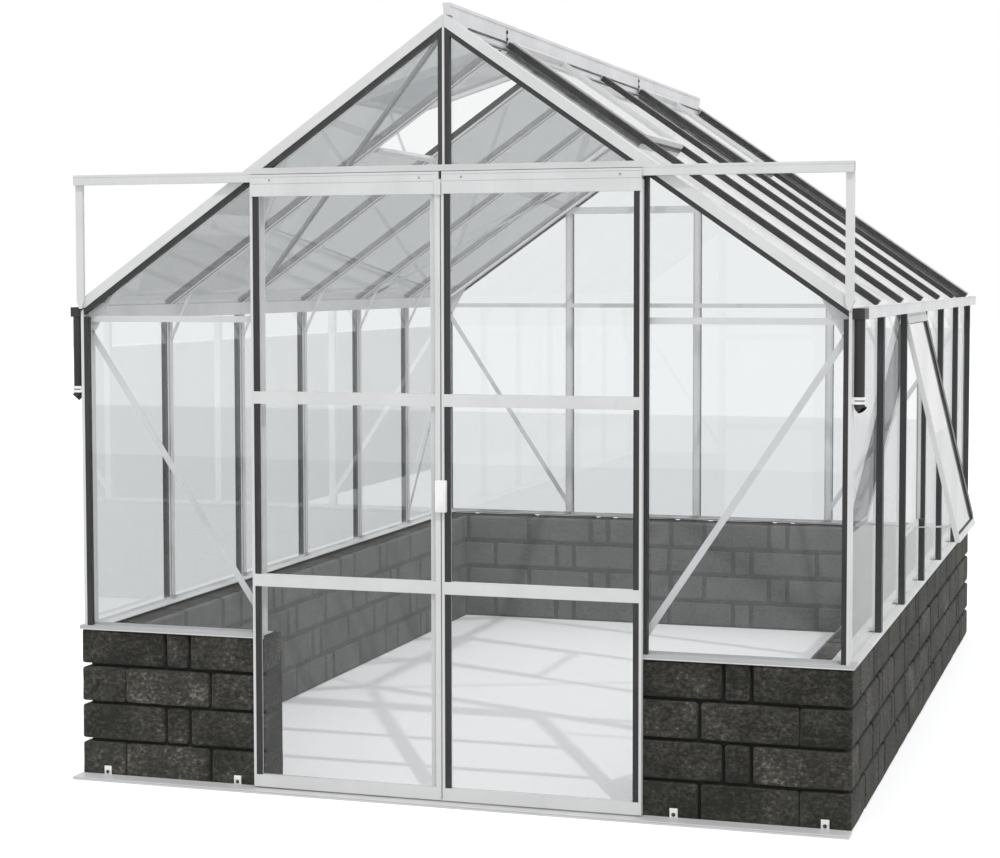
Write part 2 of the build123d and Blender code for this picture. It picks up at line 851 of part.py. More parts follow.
# ------------------------------------------------------- top-hung side window
window_seat = half_width - side_glass_face          # sash lies outside the pane below it
window_hinge = (window_seat + window_depth, gutter_bottom - hinge_gap)
window_length = window_hinge[1] - window_sill_top + window_lap
swing = radians(window_angle)
window_plane = Plane(
    origin=(window_hinge[0], sum(window_y) / 2, window_hinge[1]),
    x_dir=(0, 1, 0),
    z_dir=(-cos(swing), 0, -sin(swing)),
)
window_width = bay - nose_width - 2 * window_side_gap
window_pane = (
    window_width - 2 * window_member,
    window_length - window_head_member - window_member,
)
window_pane_middle = (window_length + window_head_member - window_member) / 2


def window_face(reach):
    """Point on the open sash's inner face, reach down from its head."""
    x = window_hinge[0] - window_depth * cos(swing) + reach * sin(swing)
    z = window_hinge[1] - window_depth * sin(swing) - reach * cos(swing)
    return (x, z)


with BuildPart() as side_window_frame:
    with BuildSketch(window_plane):
        panel((-window_width / 2, window_width / 2), (0, window_length))
        with Locations((0, window_pane_middle)):
            Rectangle(*window_pane, mode=Mode.SUBTRACT)
    extrude(amount=window_depth)
save(side_window_frame, "side_window_frame")

with BuildPart() as side_window_glass:
    with BuildSketch(window_plane.offset(window_depth / 2)):
        with Locations((0, window_pane_middle)):
            Rectangle(*window_pane)
    extrude(amount=glass_thickness)
save(side_window_glass, "side_window_glass")

with BuildPart() as side_window_seat:
    inside = half_width - side_glass_line
    flange_edges = (window_y[0] + flange_width / 2, window_y[1] - flange_width / 2)
    block(
        (inside - window_frame_depth, inside),
        flange_edges,
        (window_sill_level, window_sill_top),
    )
    block(
        (inside - window_frame_depth, inside),
        flange_edges,
        (gutter_bottom - window_head_height, gutter_bottom),
    )
save(side_window_seat, "side_window_seat")

with BuildPart() as side_window_stay:
    arm_end = [
        window_face(window_length - window_member),
        window_face(window_length - window_member - stay_width),
    ]
    arm_start = half_width - side_glass_line - window_frame_depth
    with BuildSketch(upright_plane((sum(window_y) + stay_thickness) / 2)):
        outline(
            [
                (arm_start, window_sill_top),
                (arm_start + stay_width, window_sill_top),
                arm_end[0],
                arm_end[1],
            ]
        )
    extrude(amount=stay_thickness)
save(side_window_stay, "side_window_stay")

# ----------------------------------------------------------------------- braces
gable_brace_top = eaves_height - gable_brace_drop
gable_brace_foot = base_top + gable_brace_rise
side_brace_top = eaves_height - side_brace_drop
side_brace_foot = base_top + side_brace_rise
knee_foot_level = eaves_height - knee_drop
knee_rise = tan(radians(knee_angle))

with BuildPart() as gable_braces:
    brace_ends = (bay - foot_width / 2, post_inner - post_seat_thickness)
    brace_run = brace_ends[1] - brace_ends[0]
    rise = brace_width * hypot(1, (gable_brace_top - gable_brace_foot) / brace_run)
    for y in (front + gable_back + brace_thickness, rear - gable_back):
        with BuildSketch(upright_plane(y)):
            outline(
                [
                    (brace_ends[0], gable_brace_foot),
                    (brace_ends[1], gable_brace_top),
                    (brace_ends[1], gable_brace_top + rise),
                    (brace_ends[0], gable_brace_foot + rise),
                ]
            )
        extrude(amount=brace_thickness)
    mirror(about=Plane.YZ)
save(gable_braces, "gable_braces")

with BuildPart() as corner_gussets:
    gusset_foot = eaves_height - gusset_drop
    verge_edge = brace_ends[1] - gusset_reach
    for y in (front + gable_back + gusset_thickness, rear - gable_back):
        with BuildSketch(upright_plane(y)):
            outline(
                [
                    (brace_ends[1], gusset_foot),
                    (brace_ends[1], roof_z(brace_ends[1], -bar_depth)),
                    (verge_edge, roof_z(verge_edge, -bar_depth)),
                    (brace_ends[1] - foot_width, gusset_foot - foot_width),
                ]
            )
        extrude(amount=gusset_thickness)
    mirror(about=Plane.YZ)
save(corner_gussets, "corner_gussets")

with BuildPart() as side_braces:
    last_bar = bar_y(bays_deep - 1) - foot_width / 2
    rise = brace_width * hypot(1, (side_brace_top - side_brace_foot) / bay)
    with BuildSketch(Plane(origin=(corner_inside, 0, 0), x_dir=(0, 1, 0), z_dir=(1, 0, 0))):
        outline(
            [
                (last_bar, side_brace_foot),
                (rear - gable_glass_line, side_brace_top),
                (rear - gable_glass_line, side_brace_top + rise),
                (last_bar, side_brace_foot + rise),
            ]
        )
    extrude(amount=-brace_thickness)
    mirror(about=Plane.YZ)
save(side_braces, "side_braces")

with BuildPart() as roof_braces:
    # an angle section: one leg flat under the bars' feet, the other hanging from its edge
    foot_plane = Plane(
        origin=(0, 0, ridge_height),
        x_dir=down_slope,
        z_dir=(sin(slope), 0, cos(slope)),
    ).offset(-bar_depth)
    brace_start = (2 * ridge_cap_width, front + gable_back)
    brace_end = (slope_length - 3 * foot_width, bar_y(2) - knee_thickness)
    run = hypot(brace_end[0] - brace_start[0], brace_end[1] - brace_start[1])
    step_ratio = run / (brace_end[1] - brace_start[1])
    for width, depth in (
        (roof_brace_width, brace_thickness),
        (brace_thickness, roof_brace_leg),
    ):
        step = width * step_ratio
        with BuildSketch(foot_plane):
            outline(
                [
                    brace_start,
                    (brace_start[0] + step, brace_start[1]),
                    (brace_end[0] + step, brace_end[1]),
                    brace_end,
                ]
            )
        extrude(amount=-depth)
    mirror(about=mid_length)
    mirror(about=Plane.YZ)
save(roof_braces, "roof_braces")

with BuildPart() as knee_braces:
    knee_cut = knee_width / cos(radians(knee_angle))
    roof_base = roof_z(0, -bar_depth)
    knee_tops = []
    for level in (knee_foot_level, knee_foot_level + knee_cut):
        top_x = (level + corner_inside * knee_rise - roof_base) / (knee_rise - tan(slope))
        knee_tops.append((top_x, roof_z(top_x, -bar_depth)))
    for n in range(1, bays_deep):
        with BuildSketch(upright_plane(bar_y(n) + knee_thickness / 2)):
            outline(
                [
                    (corner_inside, knee_foot_level),
                    (corner_inside, knee_foot_level + knee_cut),
                    knee_tops[1],
                    knee_tops[0],
                ]
            )
        extrude(amount=knee_thickness)
    mirror(about=Plane.YZ)
save(knee_braces, "knee_braces")

# ------------------------------------------------------------ track and threshold
track_face = front - gable_rise - nose_proud     # back of the track
track_front = track_face - track_depth
track_half = half_width + track_end
track_top = track_bottom + track_height

with BuildPart() as door_track:
    with BuildSketch(Plane(origin=(-track_half, 0, 0), x_dir=(0, 1, 0), z_dir=(1, 0, 0))):
        panel((track_front, track_face), (track_bottom, track_top))
        with Locations(((track_front + track_face) / 2, (track_bottom + track_top) / 2)):
            Rectangle(
                track_depth - 2 * track_wall,
                track_height - 2 * track_wall,
                mode=Mode.SUBTRACT,
            )
        slot = (track_bottom + track_wall + track_lip, track_top - track_wall - track_top_lip)
        with Locations((track_front + track_wall / 2, sum(slot) / 2)):
            Rectangle(track_wall, slot[1] - slot[0], mode=Mode.SUBTRACT)
    extrude(amount=2 * track_half)
save(door_track, "door_track")

with BuildPart() as track_uprights:
    with BuildSketch(upright_plane(track_face)):
        inner = track_half - upright_width
        upright_foot = eaves_height - upright_lap
        outline(
            [
                (inner, track_bottom),
                (inner, upright_foot + upright_width),
                (inner + upright_width / 3, upright_foot),
                (track_half - upright_width / 3, upright_foot),
                (track_half, upright_foot + upright_width),
                (track_half, track_bottom),
            ]
        )
    extrude(amount=upright_depth)
    mirror(about=Plane.YZ)
save(track_uprights, "track_uprights")

with BuildPart() as threshold_rail:
    block(
        (-wall_half, wall_half),
        (-threshold_depth / 2, threshold_depth / 2),
        (0, threshold_height),
    )
save(threshold_rail, "threshold_rail")

with BuildPart() as threshold_brackets:
    for x in bracket_places:
        block(
            (x - bracket_width / 2, x + bracket_width / 2),
            (threshold_depth / 2 - bracket_thickness, threshold_depth / 2),
            (threshold_height, threshold_height + bracket_height),
        )
save(threshold_brackets, "threshold_brackets")

# --------------------------------------------------------- sliding door leaves
leaf_y = (front - leaf_front, front - leaf_back)
leaf_bottom = threshold_height + leaf_bottom_gap
rail_levels = (
    (leaf_bottom, leaf_bottom + leaf_rail_height),
    (low_rail_level, low_rail_level + leaf_rail_height),
    (mid_rail_level, mid_rail_level + leaf_rail_height),
    (top_rail_level, leaf_top),
)
leaf_panes = [(low[1], high[0]) for low, high in zip(rail_levels, rail_levels[1:])]
leaf_glass_y = (leaf_y[0] + leaf_glass_inset, leaf_y[0] + leaf_glass_inset + glass_thickness)
leaf_outer_nose = leaf_edge - leaf_nose_width
closing_edge = leaf_gap / 2
roller_level = track_bottom + track_wall + roller_gap + roller_diameter / 2
roller_front = track_front + (track_depth - roller_width) / 2

# the left leaf carries the lock, so its closing stile is broad and has no black strip
leaves = (
    ("left", -1, closing_edge + 2 * leaf_nose_width),
    ("right", 1, closing_edge + leaf_nose_width),
)

for name, side, closing_stile in leaves:
    with BuildPart() as door_frame:
        block((side * leaf_outer_nose, side * leaf_edge), leaf_y, (leaf_bottom, leaf_top))
        block((side * closing_edge, side * closing_stile), leaf_y, (leaf_bottom, leaf_top))
        for level in rail_levels:
            block((side * closing_stile, side * leaf_outer_nose), leaf_y, level)
        for near, far in (
            (closing_stile, closing_stile + leaf_strip_width),
            (leaf_outer_nose - leaf_strip_width, leaf_outer_nose),
        ):
            block(
                (side * near, side * far),
                (leaf_glass_y[1], leaf_glass_y[1] + flange_thickness),
                (leaf_bottom, leaf_top),
            )
    save(door_frame, f"{name}_door_frame")

    with BuildPart() as door_fascia:
        block(
            (side * (closing_edge + fascia_inset), side * (leaf_edge - fascia_inset)),
            (leaf_y[0] - fascia_thickness, leaf_y[0]),
            (top_rail_level, track_bottom + fascia_lap),
        )
    save(door_fascia, f"{name}_door_fascia")

    with BuildPart() as door_glass:
        for low, high in leaf_panes:
            block(
                (side * (closing_stile + fit_gap), side * (leaf_outer_nose - fit_gap)),
                leaf_glass_y,
                (low + fit_gap, high - fit_gap),
            )
    save(door_glass, f"{name}_door_glass")

    with BuildPart() as door_strips:
        for low, high in leaf_panes:
            block(
                (side * (leaf_outer_nose - leaf_strip_width), side * leaf_outer_nose),
                (leaf_y[0] + leaf_strip_inset, leaf_glass_y[0]),
                (low, high),
            )
            if side == 1:
                block(
                    (closing_stile, closing_stile + leaf_strip_width),
                    (leaf_y[0] + leaf_strip_inset, leaf_glass_y[0]),
                    (low, high),
                )
    save(door_strips, f"{name}_door_strips")

    with BuildPart() as door_rollers:
        roller_axis = [(side * x, roller_level) for x in roller_places]
        with BuildSketch(upright_plane(roller_front + roller_width)):
            with Locations(*roller_axis):
                Circle(roller_diameter / 2)
        extrude(amount=roller_width)
        with BuildSketch(upright_plane(roller_front)):
            with Locations(*roller_axis):
                Circle(axle_diameter / 2)
        extrude(amount=roller_front - leaf_y[0])
    save(door_rollers, f"{name}_door_rollers")

with BuildPart() as door_handle:
    handle_left = -closing_edge - 1.5 * leaf_nose_width
    handle_z = (handle_bottom, handle_bottom + handle_height)
    block((handle_left, -closing_edge), (leaf_y[0] - handle_clearance, leaf_y[0]), handle_z)
    block(
        (handle_left, handle_left + handle_width),
        (leaf_y[0] - handle_clearance - handle_depth, leaf_y[0] - handle_clearance),
        handle_z,
    )
save(door_handle, "door_handle")
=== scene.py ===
import json
import random
from math import atan2, cos, pi, radians, sin

import bmesh
import bpy
from mathutils import Matrix, Vector


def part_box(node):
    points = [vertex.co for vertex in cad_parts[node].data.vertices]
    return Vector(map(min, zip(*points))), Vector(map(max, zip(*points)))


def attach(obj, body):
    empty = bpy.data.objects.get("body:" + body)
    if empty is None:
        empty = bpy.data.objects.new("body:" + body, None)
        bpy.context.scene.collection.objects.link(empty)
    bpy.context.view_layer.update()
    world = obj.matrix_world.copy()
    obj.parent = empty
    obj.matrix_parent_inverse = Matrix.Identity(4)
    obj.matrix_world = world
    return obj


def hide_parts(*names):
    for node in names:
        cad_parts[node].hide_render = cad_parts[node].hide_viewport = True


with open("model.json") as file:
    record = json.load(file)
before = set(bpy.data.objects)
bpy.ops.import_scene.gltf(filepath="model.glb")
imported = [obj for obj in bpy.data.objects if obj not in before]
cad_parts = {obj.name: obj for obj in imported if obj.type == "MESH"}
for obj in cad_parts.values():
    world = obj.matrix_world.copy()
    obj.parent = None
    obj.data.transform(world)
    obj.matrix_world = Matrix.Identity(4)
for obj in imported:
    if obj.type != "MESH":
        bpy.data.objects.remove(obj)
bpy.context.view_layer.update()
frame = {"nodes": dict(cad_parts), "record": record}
random.seed(7)

# ------------------------------------------------------------------ workshop habits


def put_down_everything():
    """Nothing stays selected from the last job."""
    for thing in bpy.context.selected_objects:
        thing.select_set(False)


def take_up(*pieces):
    """Only these pieces are selected, and the last one is the one being worked."""
    put_down_everything()
    for piece in pieces:
        piece.select_set(True)
    bpy.context.view_layer.objects.active = pieces[-1]


def settle(piece):
    """The piece's place goes into its mesh, and its object stays at the origin."""
    take_up(piece)
    bpy.ops.object.transform_apply(location=True, rotation=True, scale=True)


def blank(name, low, high):
    """A squared blank between two corners."""
    put_down_everything()
    low, high = Vector(low), Vector(high)
    bpy.ops.mesh.primitive_cube_add(size=1, location=(low + high) / 2, scale=high - low)
    piece = bpy.context.object
    piece.name = name
    settle(piece)
    return piece


def sided(name, hand, across, along, upright):
    """A squared blank left or right of the middle: its reach outwards, its run along Y, its height."""
    low_x, high_x = sorted((hand * across[0], hand * across[1]))
    return blank(name, (low_x, along[0], upright[0]), (high_x, along[1], upright[1]))


def turned_blank(name, foot, top, radius, sides=16):
    """A round blank between two points."""
    put_down_everything()
    foot, top = Vector(foot), Vector(top)
    run = top - foot
    turn = run.to_track_quat("Z", "Y").to_euler()
    bpy.ops.mesh.primitive_cylinder_add(
        vertices=sides, radius=radius, depth=run.length, location=(foot + top) / 2, rotation=turn
    )
    piece = bpy.context.object
    piece.name = name
    settle(piece)
    return piece


def pick_faces(piece, wanted):
    """In edit mode, the faces whose middle and normal are wanted are the ones selected."""
    mesh = bmesh.from_edit_mesh(piece.data)
    bpy.context.tool_settings.mesh_select_mode = (False, False, True)
    for face in mesh.faces:
        face.select_set(False)
    for face in mesh.faces:
        if wanted(face.calc_center_median(), face.normal):
            face.select_set(True)
    mesh.select_flush_mode()
    bmesh.update_edit_mesh(piece.data)


def pick_edges(piece, wanted):
    """In edit mode, the edges whose middle and direction are wanted are the ones selected."""
    mesh = bmesh.from_edit_mesh(piece.data)
    bpy.context.tool_settings.mesh_select_mode = (False, True, False)
    for edge in mesh.edges:
        edge.select_set(False)
    for edge in mesh.edges:
        ends = [corner.co for corner in edge.verts]
        if wanted((ends[0] + ends[1]) / 2, (ends[1] - ends[0]).normalized()):
            edge.select_set(True)
    mesh.select_flush_mode()
    bmesh.update_edit_mesh(piece.data)


def open_up(piece):
    """The piece goes into edit mode with nothing on it selected."""
    take_up(piece)
    bpy.ops.object.mode_set(mode="EDIT")
    bpy.ops.mesh.select_all(action="DESELECT")


def close_up():
    bpy.ops.object.mode_set(mode="OBJECT")


def ease_edges(piece, width, segments=2, angle=40):
    """Sharp edges are eased, and the flats stay flat."""
    take_up(piece)
    bevel = piece.modifiers.new("eased edges", "BEVEL")
    bevel.width = width
    bevel.segments = segments
    bevel.limit_method = "ANGLE"
    bevel.angle_limit = radians(angle)
    bpy.ops.object.modifier_apply(modifier=bevel.name)


def copied(piece, move=(0, 0, 0), turn=0, name=None):
    """A copy with its own mesh, turned about the upright axis and then moved."""
    take_up(piece)
    bpy.ops.object.duplicate(linked=False)
    twin = bpy.context.object
    twin.matrix_world = Matrix.Translation(move) @ Matrix.Rotation(turn, 4, "Z")
    settle(twin)
    if name:
        twin.name = name
    return twin


def joined(name, pieces):
    """Several pieces made one."""
    take_up(*pieces)
    if len(pieces) > 1:
        bpy.ops.object.join()
    piece = bpy.context.object
    piece.name = name
    return piece


def scrap(*pieces):
    """Patterns that have been copied are thrown away."""
    for piece in pieces:
        bpy.data.objects.remove(piece, do_unlink=True)


def finish_piece(piece, body, slot, material, *nodes):
    """The piece gets its finish, rides on its body and takes the place of its nodes."""
    piece.data.materials.clear()
    piece.data.materials.append(material)
    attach(piece, body)
    if nodes:
        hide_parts(*nodes)
    return piece


# ------------------------------------------------------------------ effect groups


def wire(tree, source, sink):
    tree.links.new(source, sink)


def feed(tree, value, socket):
    """A socket gets a plain number or colour, or a wire from another socket."""
    if isinstance(value, (int, float, tuple)):
        socket.default_value = value
    else:
        wire(tree, value, socket)


def shelf(tree, kind, **settings):
    """A node with its settings made."""
    made = tree.nodes.new(kind)
    for key, value in settings.items():
        setattr(made, key, value)
    return made


def open_group(name, inputs, outputs):
    """A node group with its named sockets, and its two end nodes."""
    tree = bpy.data.node_groups.new(name, "ShaderNodeTree")
    for label, kind, value in inputs:
        socket = tree.interface.new_socket(name=label, in_out="INPUT", socket_type=kind)
        if value is not None:
            socket.default_value = value
    for label, kind in outputs:
        tree.interface.new_socket(name=label, in_out="OUTPUT", socket_type=kind)
    return tree, tree.nodes.new("NodeGroupInput"), tree.nodes.new("NodeGroupOutput")


def curve_between(tree, value, low, high, start=0.0, end=1.0):
    """A smooth step of a value from low to high, given out between start and end."""
    ramp = shelf(tree, "ShaderNodeMapRange", interpolation_type="SMOOTHSTEP")
    ramp.inputs["From Min"].default_value = low
    ramp.inputs["From Max"].default_value = high
    ramp.inputs["To Min"].default_value = start
    ramp.inputs["To Max"].default_value = end
    wire(tree, value, ramp.inputs["Value"])
    return ramp.outputs["Result"]


def arithmetic(tree, operation, first, second):
    """One sum on two values, either of which may be a plain number."""
    sums = shelf(tree, "ShaderNodeMath", operation=operation)
    feed(tree, first, sums.inputs[0])
    feed(tree, second, sums.inputs[1])
    return sums.outputs["Value"]


def close_to(tree, value, middle, span):
    """One where a value lies within a span of the middle, and nought elsewhere."""
    near = arithmetic(tree, "COMPARE", value, middle)
    near.node.inputs[2].default_value = span
    return near


def blended(tree, amount, first, second):
    """Two colours mixed by an amount; each may be a socket or a plain colour."""
    mix = shelf(tree, "ShaderNodeMix", data_type="RGBA")
    feed(tree, amount, mix.inputs[0])
    feed(tree, first, mix.inputs[6])
    feed(tree, second, mix.inputs[7])
    return mix.outputs[2]


def mixed_shaders(tree, amount, first, second):
    """Two shaders mixed by an amount."""
    mix = tree.nodes.new("ShaderNodeMixShader")
    wire(tree, amount, mix.inputs["Fac"])
    wire(tree, first, mix.inputs[1])
    wire(tree, second, mix.inputs[2])
    return mix.outputs["Shader"]


def raised(tree, shader, height, strength, distance):
    """Relief on a surface, from a height."""
    relief = tree.nodes.new("ShaderNodeBump")
    feed(tree, strength, relief.inputs["Strength"])
    relief.inputs["Distance"].default_value = distance
    wire(tree, height, relief.inputs["Height"])
    wire(tree, relief.outputs["Normal"], shader.inputs["Normal"])


def make_cloud_group():
    """Broad patches and fine grain on the piece's own coordinates."""
    tree, inlet, outlet = open_group(
        "patches and grain",
        (
            ("Patch Scale", "NodeSocketFloat", 3.0),
            ("Grain Scale", "NodeSocketFloat", 120.0),
        ),
        (("Patches", "NodeSocketFloat"), ("Grain", "NodeSocketFloat")),
    )
    place = tree.nodes.new("ShaderNodeTexCoord")
    for scale, mask, detail in (("Patch Scale", "Patches", 4.0), ("Grain Scale", "Grain", 3.0)):
        noise = tree.nodes.new("ShaderNodeTexNoise")
        noise.inputs["Detail"].default_value = detail
        wire(tree, place.outputs["Object"], noise.inputs["Vector"])
        wire(tree, inlet.outputs[scale], noise.inputs["Scale"])
        wire(tree, noise.outputs[0], outlet.inputs[mask])
    return tree


def make_dust_group():
    """Dust and rain streaks: they gather near the ground and run down upright faces."""
    tree, inlet, outlet = open_group(
        "dust and streaks",
        (
            ("Amount", "NodeSocketFloat", 0.3),
            ("Reach", "NodeSocketFloat", 0.6),
        ),
        (("Mask", "NodeSocketFloat"),),
    )
    place = tree.nodes.new("ShaderNodeTexCoord")
    stretch = tree.nodes.new("ShaderNodeMapping")
    stretch.inputs["Scale"].default_value = (22.0, 22.0, 1.4)
    wire(tree, place.outputs["Object"], stretch.inputs["Vector"])
    streaks = tree.nodes.new("ShaderNodeTexNoise")
    streaks.inputs["Scale"].default_value = 1.0
    streaks.inputs["Detail"].default_value = 5.0
    wire(tree, stretch.outputs["Vector"], streaks.inputs["Vector"])
    split = tree.nodes.new("ShaderNodeSeparateXYZ")
    wire(tree, place.outputs["Object"], split.inputs["Vector"])
    height = arithmetic(tree, "DIVIDE", split.outputs["Z"], inlet.outputs["Reach"])
    low = curve_between(tree, height, 0.0, 1.0, 1.0, 0.0)
    runs = curve_between(tree, streaks.outputs[0], 0.48, 0.75)
    both = arithmetic(tree, "ADD", arithmetic(tree, "MULTIPLY", low, 0.6), runs)
    mask = arithmetic(tree, "MULTIPLY", both, inlet.outputs["Amount"])
    clamp = arithmetic(tree, "MINIMUM", mask, 1.0)
    wire(tree, clamp, outlet.inputs["Mask"])
    return tree


patches_and_grain = make_cloud_group()
dust_and_streaks = make_dust_group()


def add_group(tree, group, **values):
    """A copy of an effect group with this material's own values."""
    made = shelf(tree, "ShaderNodeGroup", node_tree=group)
    for label, value in values.items():
        made.inputs[label.replace("_", " ")].default_value = value
    return made


# ---------------------------------------------------------------------- finishes
mid_length = 2.29              # half way from the doors to the rear gable


def toned(colour, factor):
    """A colour made lighter or darker."""
    return tuple(channel * factor for channel in colour[:3]) + (1,)


def new_finish(name):
    """An empty material with its shader, ready for its colours."""
    material = bpy.data.materials.new(name)
    material.use_nodes = True
    tree = material.node_tree
    return material, tree, tree.nodes["Principled BSDF"]


def metal_finish(name, clean, dusty, rough, metallic, dust, grain, bump):
    """Aluminium or steel: faint mottling, dust in the streaks, and a fine grain."""
    material, tree, shader = new_finish(name)
    cloud = add_group(tree, patches_and_grain, Patch_Scale=4.5, Grain_Scale=grain)
    grime = add_group(tree, dust_and_streaks, Amount=dust, Reach=0.9)
    tone = curve_between(tree, cloud.outputs["Patches"], 0.3, 0.7)
    shade = blended(tree, tone, clean, toned(clean, 0.93))
    wire(tree, blended(tree, grime.outputs["Mask"], shade, dusty), shader.inputs["Base Color"])
    rubbed = curve_between(tree, cloud.outputs["Patches"], 0.3, 0.7, rough - 0.05, rough + 0.07)
    wire(tree, rubbed, shader.inputs["Roughness"])
    shader.inputs["Metallic"].default_value = metallic
    raised(tree, shader, cloud.outputs["Grain"], bump, 0.0004)
    return material


def plastic_finish(name, clean, dusty, rough, dust):
    """Moulded plastic or rubber: an even colour with dust on it."""
    material, tree, shader = new_finish(name)
    cloud = add_group(tree, patches_and_grain, Patch_Scale=7.0, Grain_Scale=400.0)
    grime = add_group(tree, dust_and_streaks, Amount=dust, Reach=1.2)
    tone = curve_between(tree, cloud.outputs["Patches"], 0.3, 0.7)
    shade = blended(tree, tone, clean, toned(clean, 1.25))
    wire(tree, blended(tree, grime.outputs["Mask"], shade, dusty), shader.inputs["Base Color"])
    rubbed = curve_between(tree, cloud.outputs["Patches"], 0.3, 0.7, rough - 0.06, rough + 0.08)
    wire(tree, rubbed, shader.inputs["Roughness"])
    raised(tree, shader, cloud.outputs["Grain"], 0.12, 0.0003)
    return material


def in_a_mirror(tree, path):
    """One where a surface is seen in a mirror image, and nought where it is seen in another way."""
    return arithmetic(tree, "MULTIPLY", path.outputs["Is Glossy Ray"], path.outputs["Is Reflection Ray"])


def glass_finish(name, tint, mirror_shade=0.0, film_weight=0.0):
    """Clear float glass. A coated pane is painted near black where other panes mirror it, which is a
    painted reflection, and the film is dust.
    """
    material, tree, shader = new_finish(name)
    shader.inputs["Base Color"].default_value = tint
    shader.inputs["Transmission Weight"].default_value = 1.0
    shader.inputs["IOR"].default_value = 1.52
    cloud = add_group(tree, patches_and_grain, Patch_Scale=1.6, Grain_Scale=9.0)
    smear = curve_between(tree, cloud.outputs["Patches"], 0.45, 0.8, 0.0, 0.02)
    wire(tree, smear, shader.inputs["Roughness"])
    path = tree.nodes.new("ShaderNodeLightPath")
    through = tree.nodes.new("ShaderNodeBsdfTransparent")
    pane = shader.outputs["BSDF"]
    if mirror_shade:
        # this pane is coated, and shines like a mirror where it is seen nearly edge on
        shader.inputs["Coat Weight"].default_value = 1.0
        shader.inputs["Coat IOR"].default_value = 2.6
        # painted reflection: where other panes mirror this pane, it is painted near black
        shade = tree.nodes.new("ShaderNodeBsdfDiffuse")
        shade.inputs["Color"].default_value = (0.05, 0.05, 0.052, 1)
        mirror_shaded = arithmetic(tree, "MULTIPLY", in_a_mirror(tree, path), mirror_shade)
        pane = mixed_shaders(tree, mirror_shaded, pane, shade.outputs["BSDF"])
    if film_weight:
        # the film tells where the pane is looked at aslant, and is lost in its shine near the edge
        slant = tree.nodes.new("ShaderNodeLayerWeight")
        film = tree.nodes.new("ShaderNodeBsdfDiffuse")
        film.inputs["Color"].default_value = (0.27, 0.28, 0.288, 1)
        rising = curve_between(tree, slant.outputs["Facing"], 0.45, 0.75, 0.0, film_weight)
        fading = curve_between(tree, slant.outputs["Facing"], 0.85, 0.93, 1.0, 0.0)
        dusted = arithmetic(tree, "MULTIPLY", rising, fading)
        pane = mixed_shaders(tree, dusted, pane, film.outputs["BSDF"])
    # light falls through the pane undimmed
    lit = arithmetic(tree, "MAXIMUM", path.outputs["Is Shadow Ray"], path.outputs["Is Diffuse Ray"])
    pane = mixed_shaders(tree, lit, pane, through.outputs["BSDF"])
    wire(tree, pane, tree.nodes["Material Output"].inputs["Surface"])
    return material


def block_finish(name, dark, light, moss, smooth):
    """Split concrete block: broken stone with pale chips, whose mottling and chips are partly the
    stone's own colour and partly painted light and shade of its relief, and a tone of its own for each
    block.
    """
    material, tree, shader = new_finish(name)
    place = tree.nodes.new("ShaderNodeTexCoord")
    stretch = tree.nodes.new("ShaderNodeMapping")
    stretch.inputs["Scale"].default_value = (1.0, 1.0, 1.5)
    wire(tree, place.outputs["Object"], stretch.inputs["Vector"])
    stone = tree.nodes.new("ShaderNodeTexNoise")
    stone.inputs["Scale"].default_value = 54.0
    stone.inputs["Detail"].default_value = 8.0
    stone.inputs["Roughness"].default_value = 0.78
    wire(tree, stretch.outputs["Vector"], stone.inputs["Vector"])
    cloud = add_group(tree, patches_and_grain, Patch_Scale=7.0, Grain_Scale=90.0)
    grime = add_group(tree, dust_and_streaks, Amount=0.25, Reach=0.3)
    tone = shelf(tree, "ShaderNodeAttribute", attribute_name="block_tone")
    lift = arithmetic(tree, "MULTIPLY", tone.outputs["Fac"], 0.08)
    broad = arithmetic(tree, "MULTIPLY", cloud.outputs["Patches"], 0.36)
    crust = arithmetic(tree, "ADD", stone.outputs[0], arithmetic(tree, "ADD", lift, broad))
    # partly painted light: the mottling and the pale chips are partly the stone's own colour and partly
    # painted light and shade of its broken relief
    body = blended(tree, curve_between(tree, crust, 0.60, 0.92), dark, light)
    chips_and_highlights = curve_between(tree, crust, 0.82, 0.92, 0.0, 0.85)
    chipped_and_highlit = blended(tree, chips_and_highlights, body, toned(light, 2.6))
    split_face = blended(tree, grime.outputs["Mask"], chipped_and_highlit, moss)
    # the faces inside the house are smooth and even
    reach = tree.nodes.new("ShaderNodeSeparateXYZ")
    wire(tree, place.outputs["Object"], reach.inputs["Vector"])
    within_sides = close_to(tree, reach.outputs["X"], 0.0, 1.33)
    within_gables = close_to(tree, reach.outputs["Y"], mid_length, 2.075)
    inside = arithmetic(tree, "MULTIPLY", within_sides, within_gables)
    even = blended(tree, curve_between(tree, crust, 0.5, 0.9), smooth, toned(smooth, 1.6))
    wire(tree, blended(tree, inside, split_face, even), shader.inputs["Base Color"])
    shader.inputs["Roughness"].default_value = 0.9
    shader.inputs["Specular IOR Level"].default_value = 0.25
    shader.inputs["Sheen Weight"].default_value = 0.12
    shader.inputs["Sheen Roughness"].default_value = 0.4
    grit = arithmetic(tree, "MULTIPLY", cloud.outputs["Grain"], 0.12)
    height = arithmetic(tree, "ADD", stone.outputs[0], grit)
    raised(tree, shader, height, curve_between(tree, inside, 0.0, 1.0, 0.9, 0.25), 0.012)
    return material


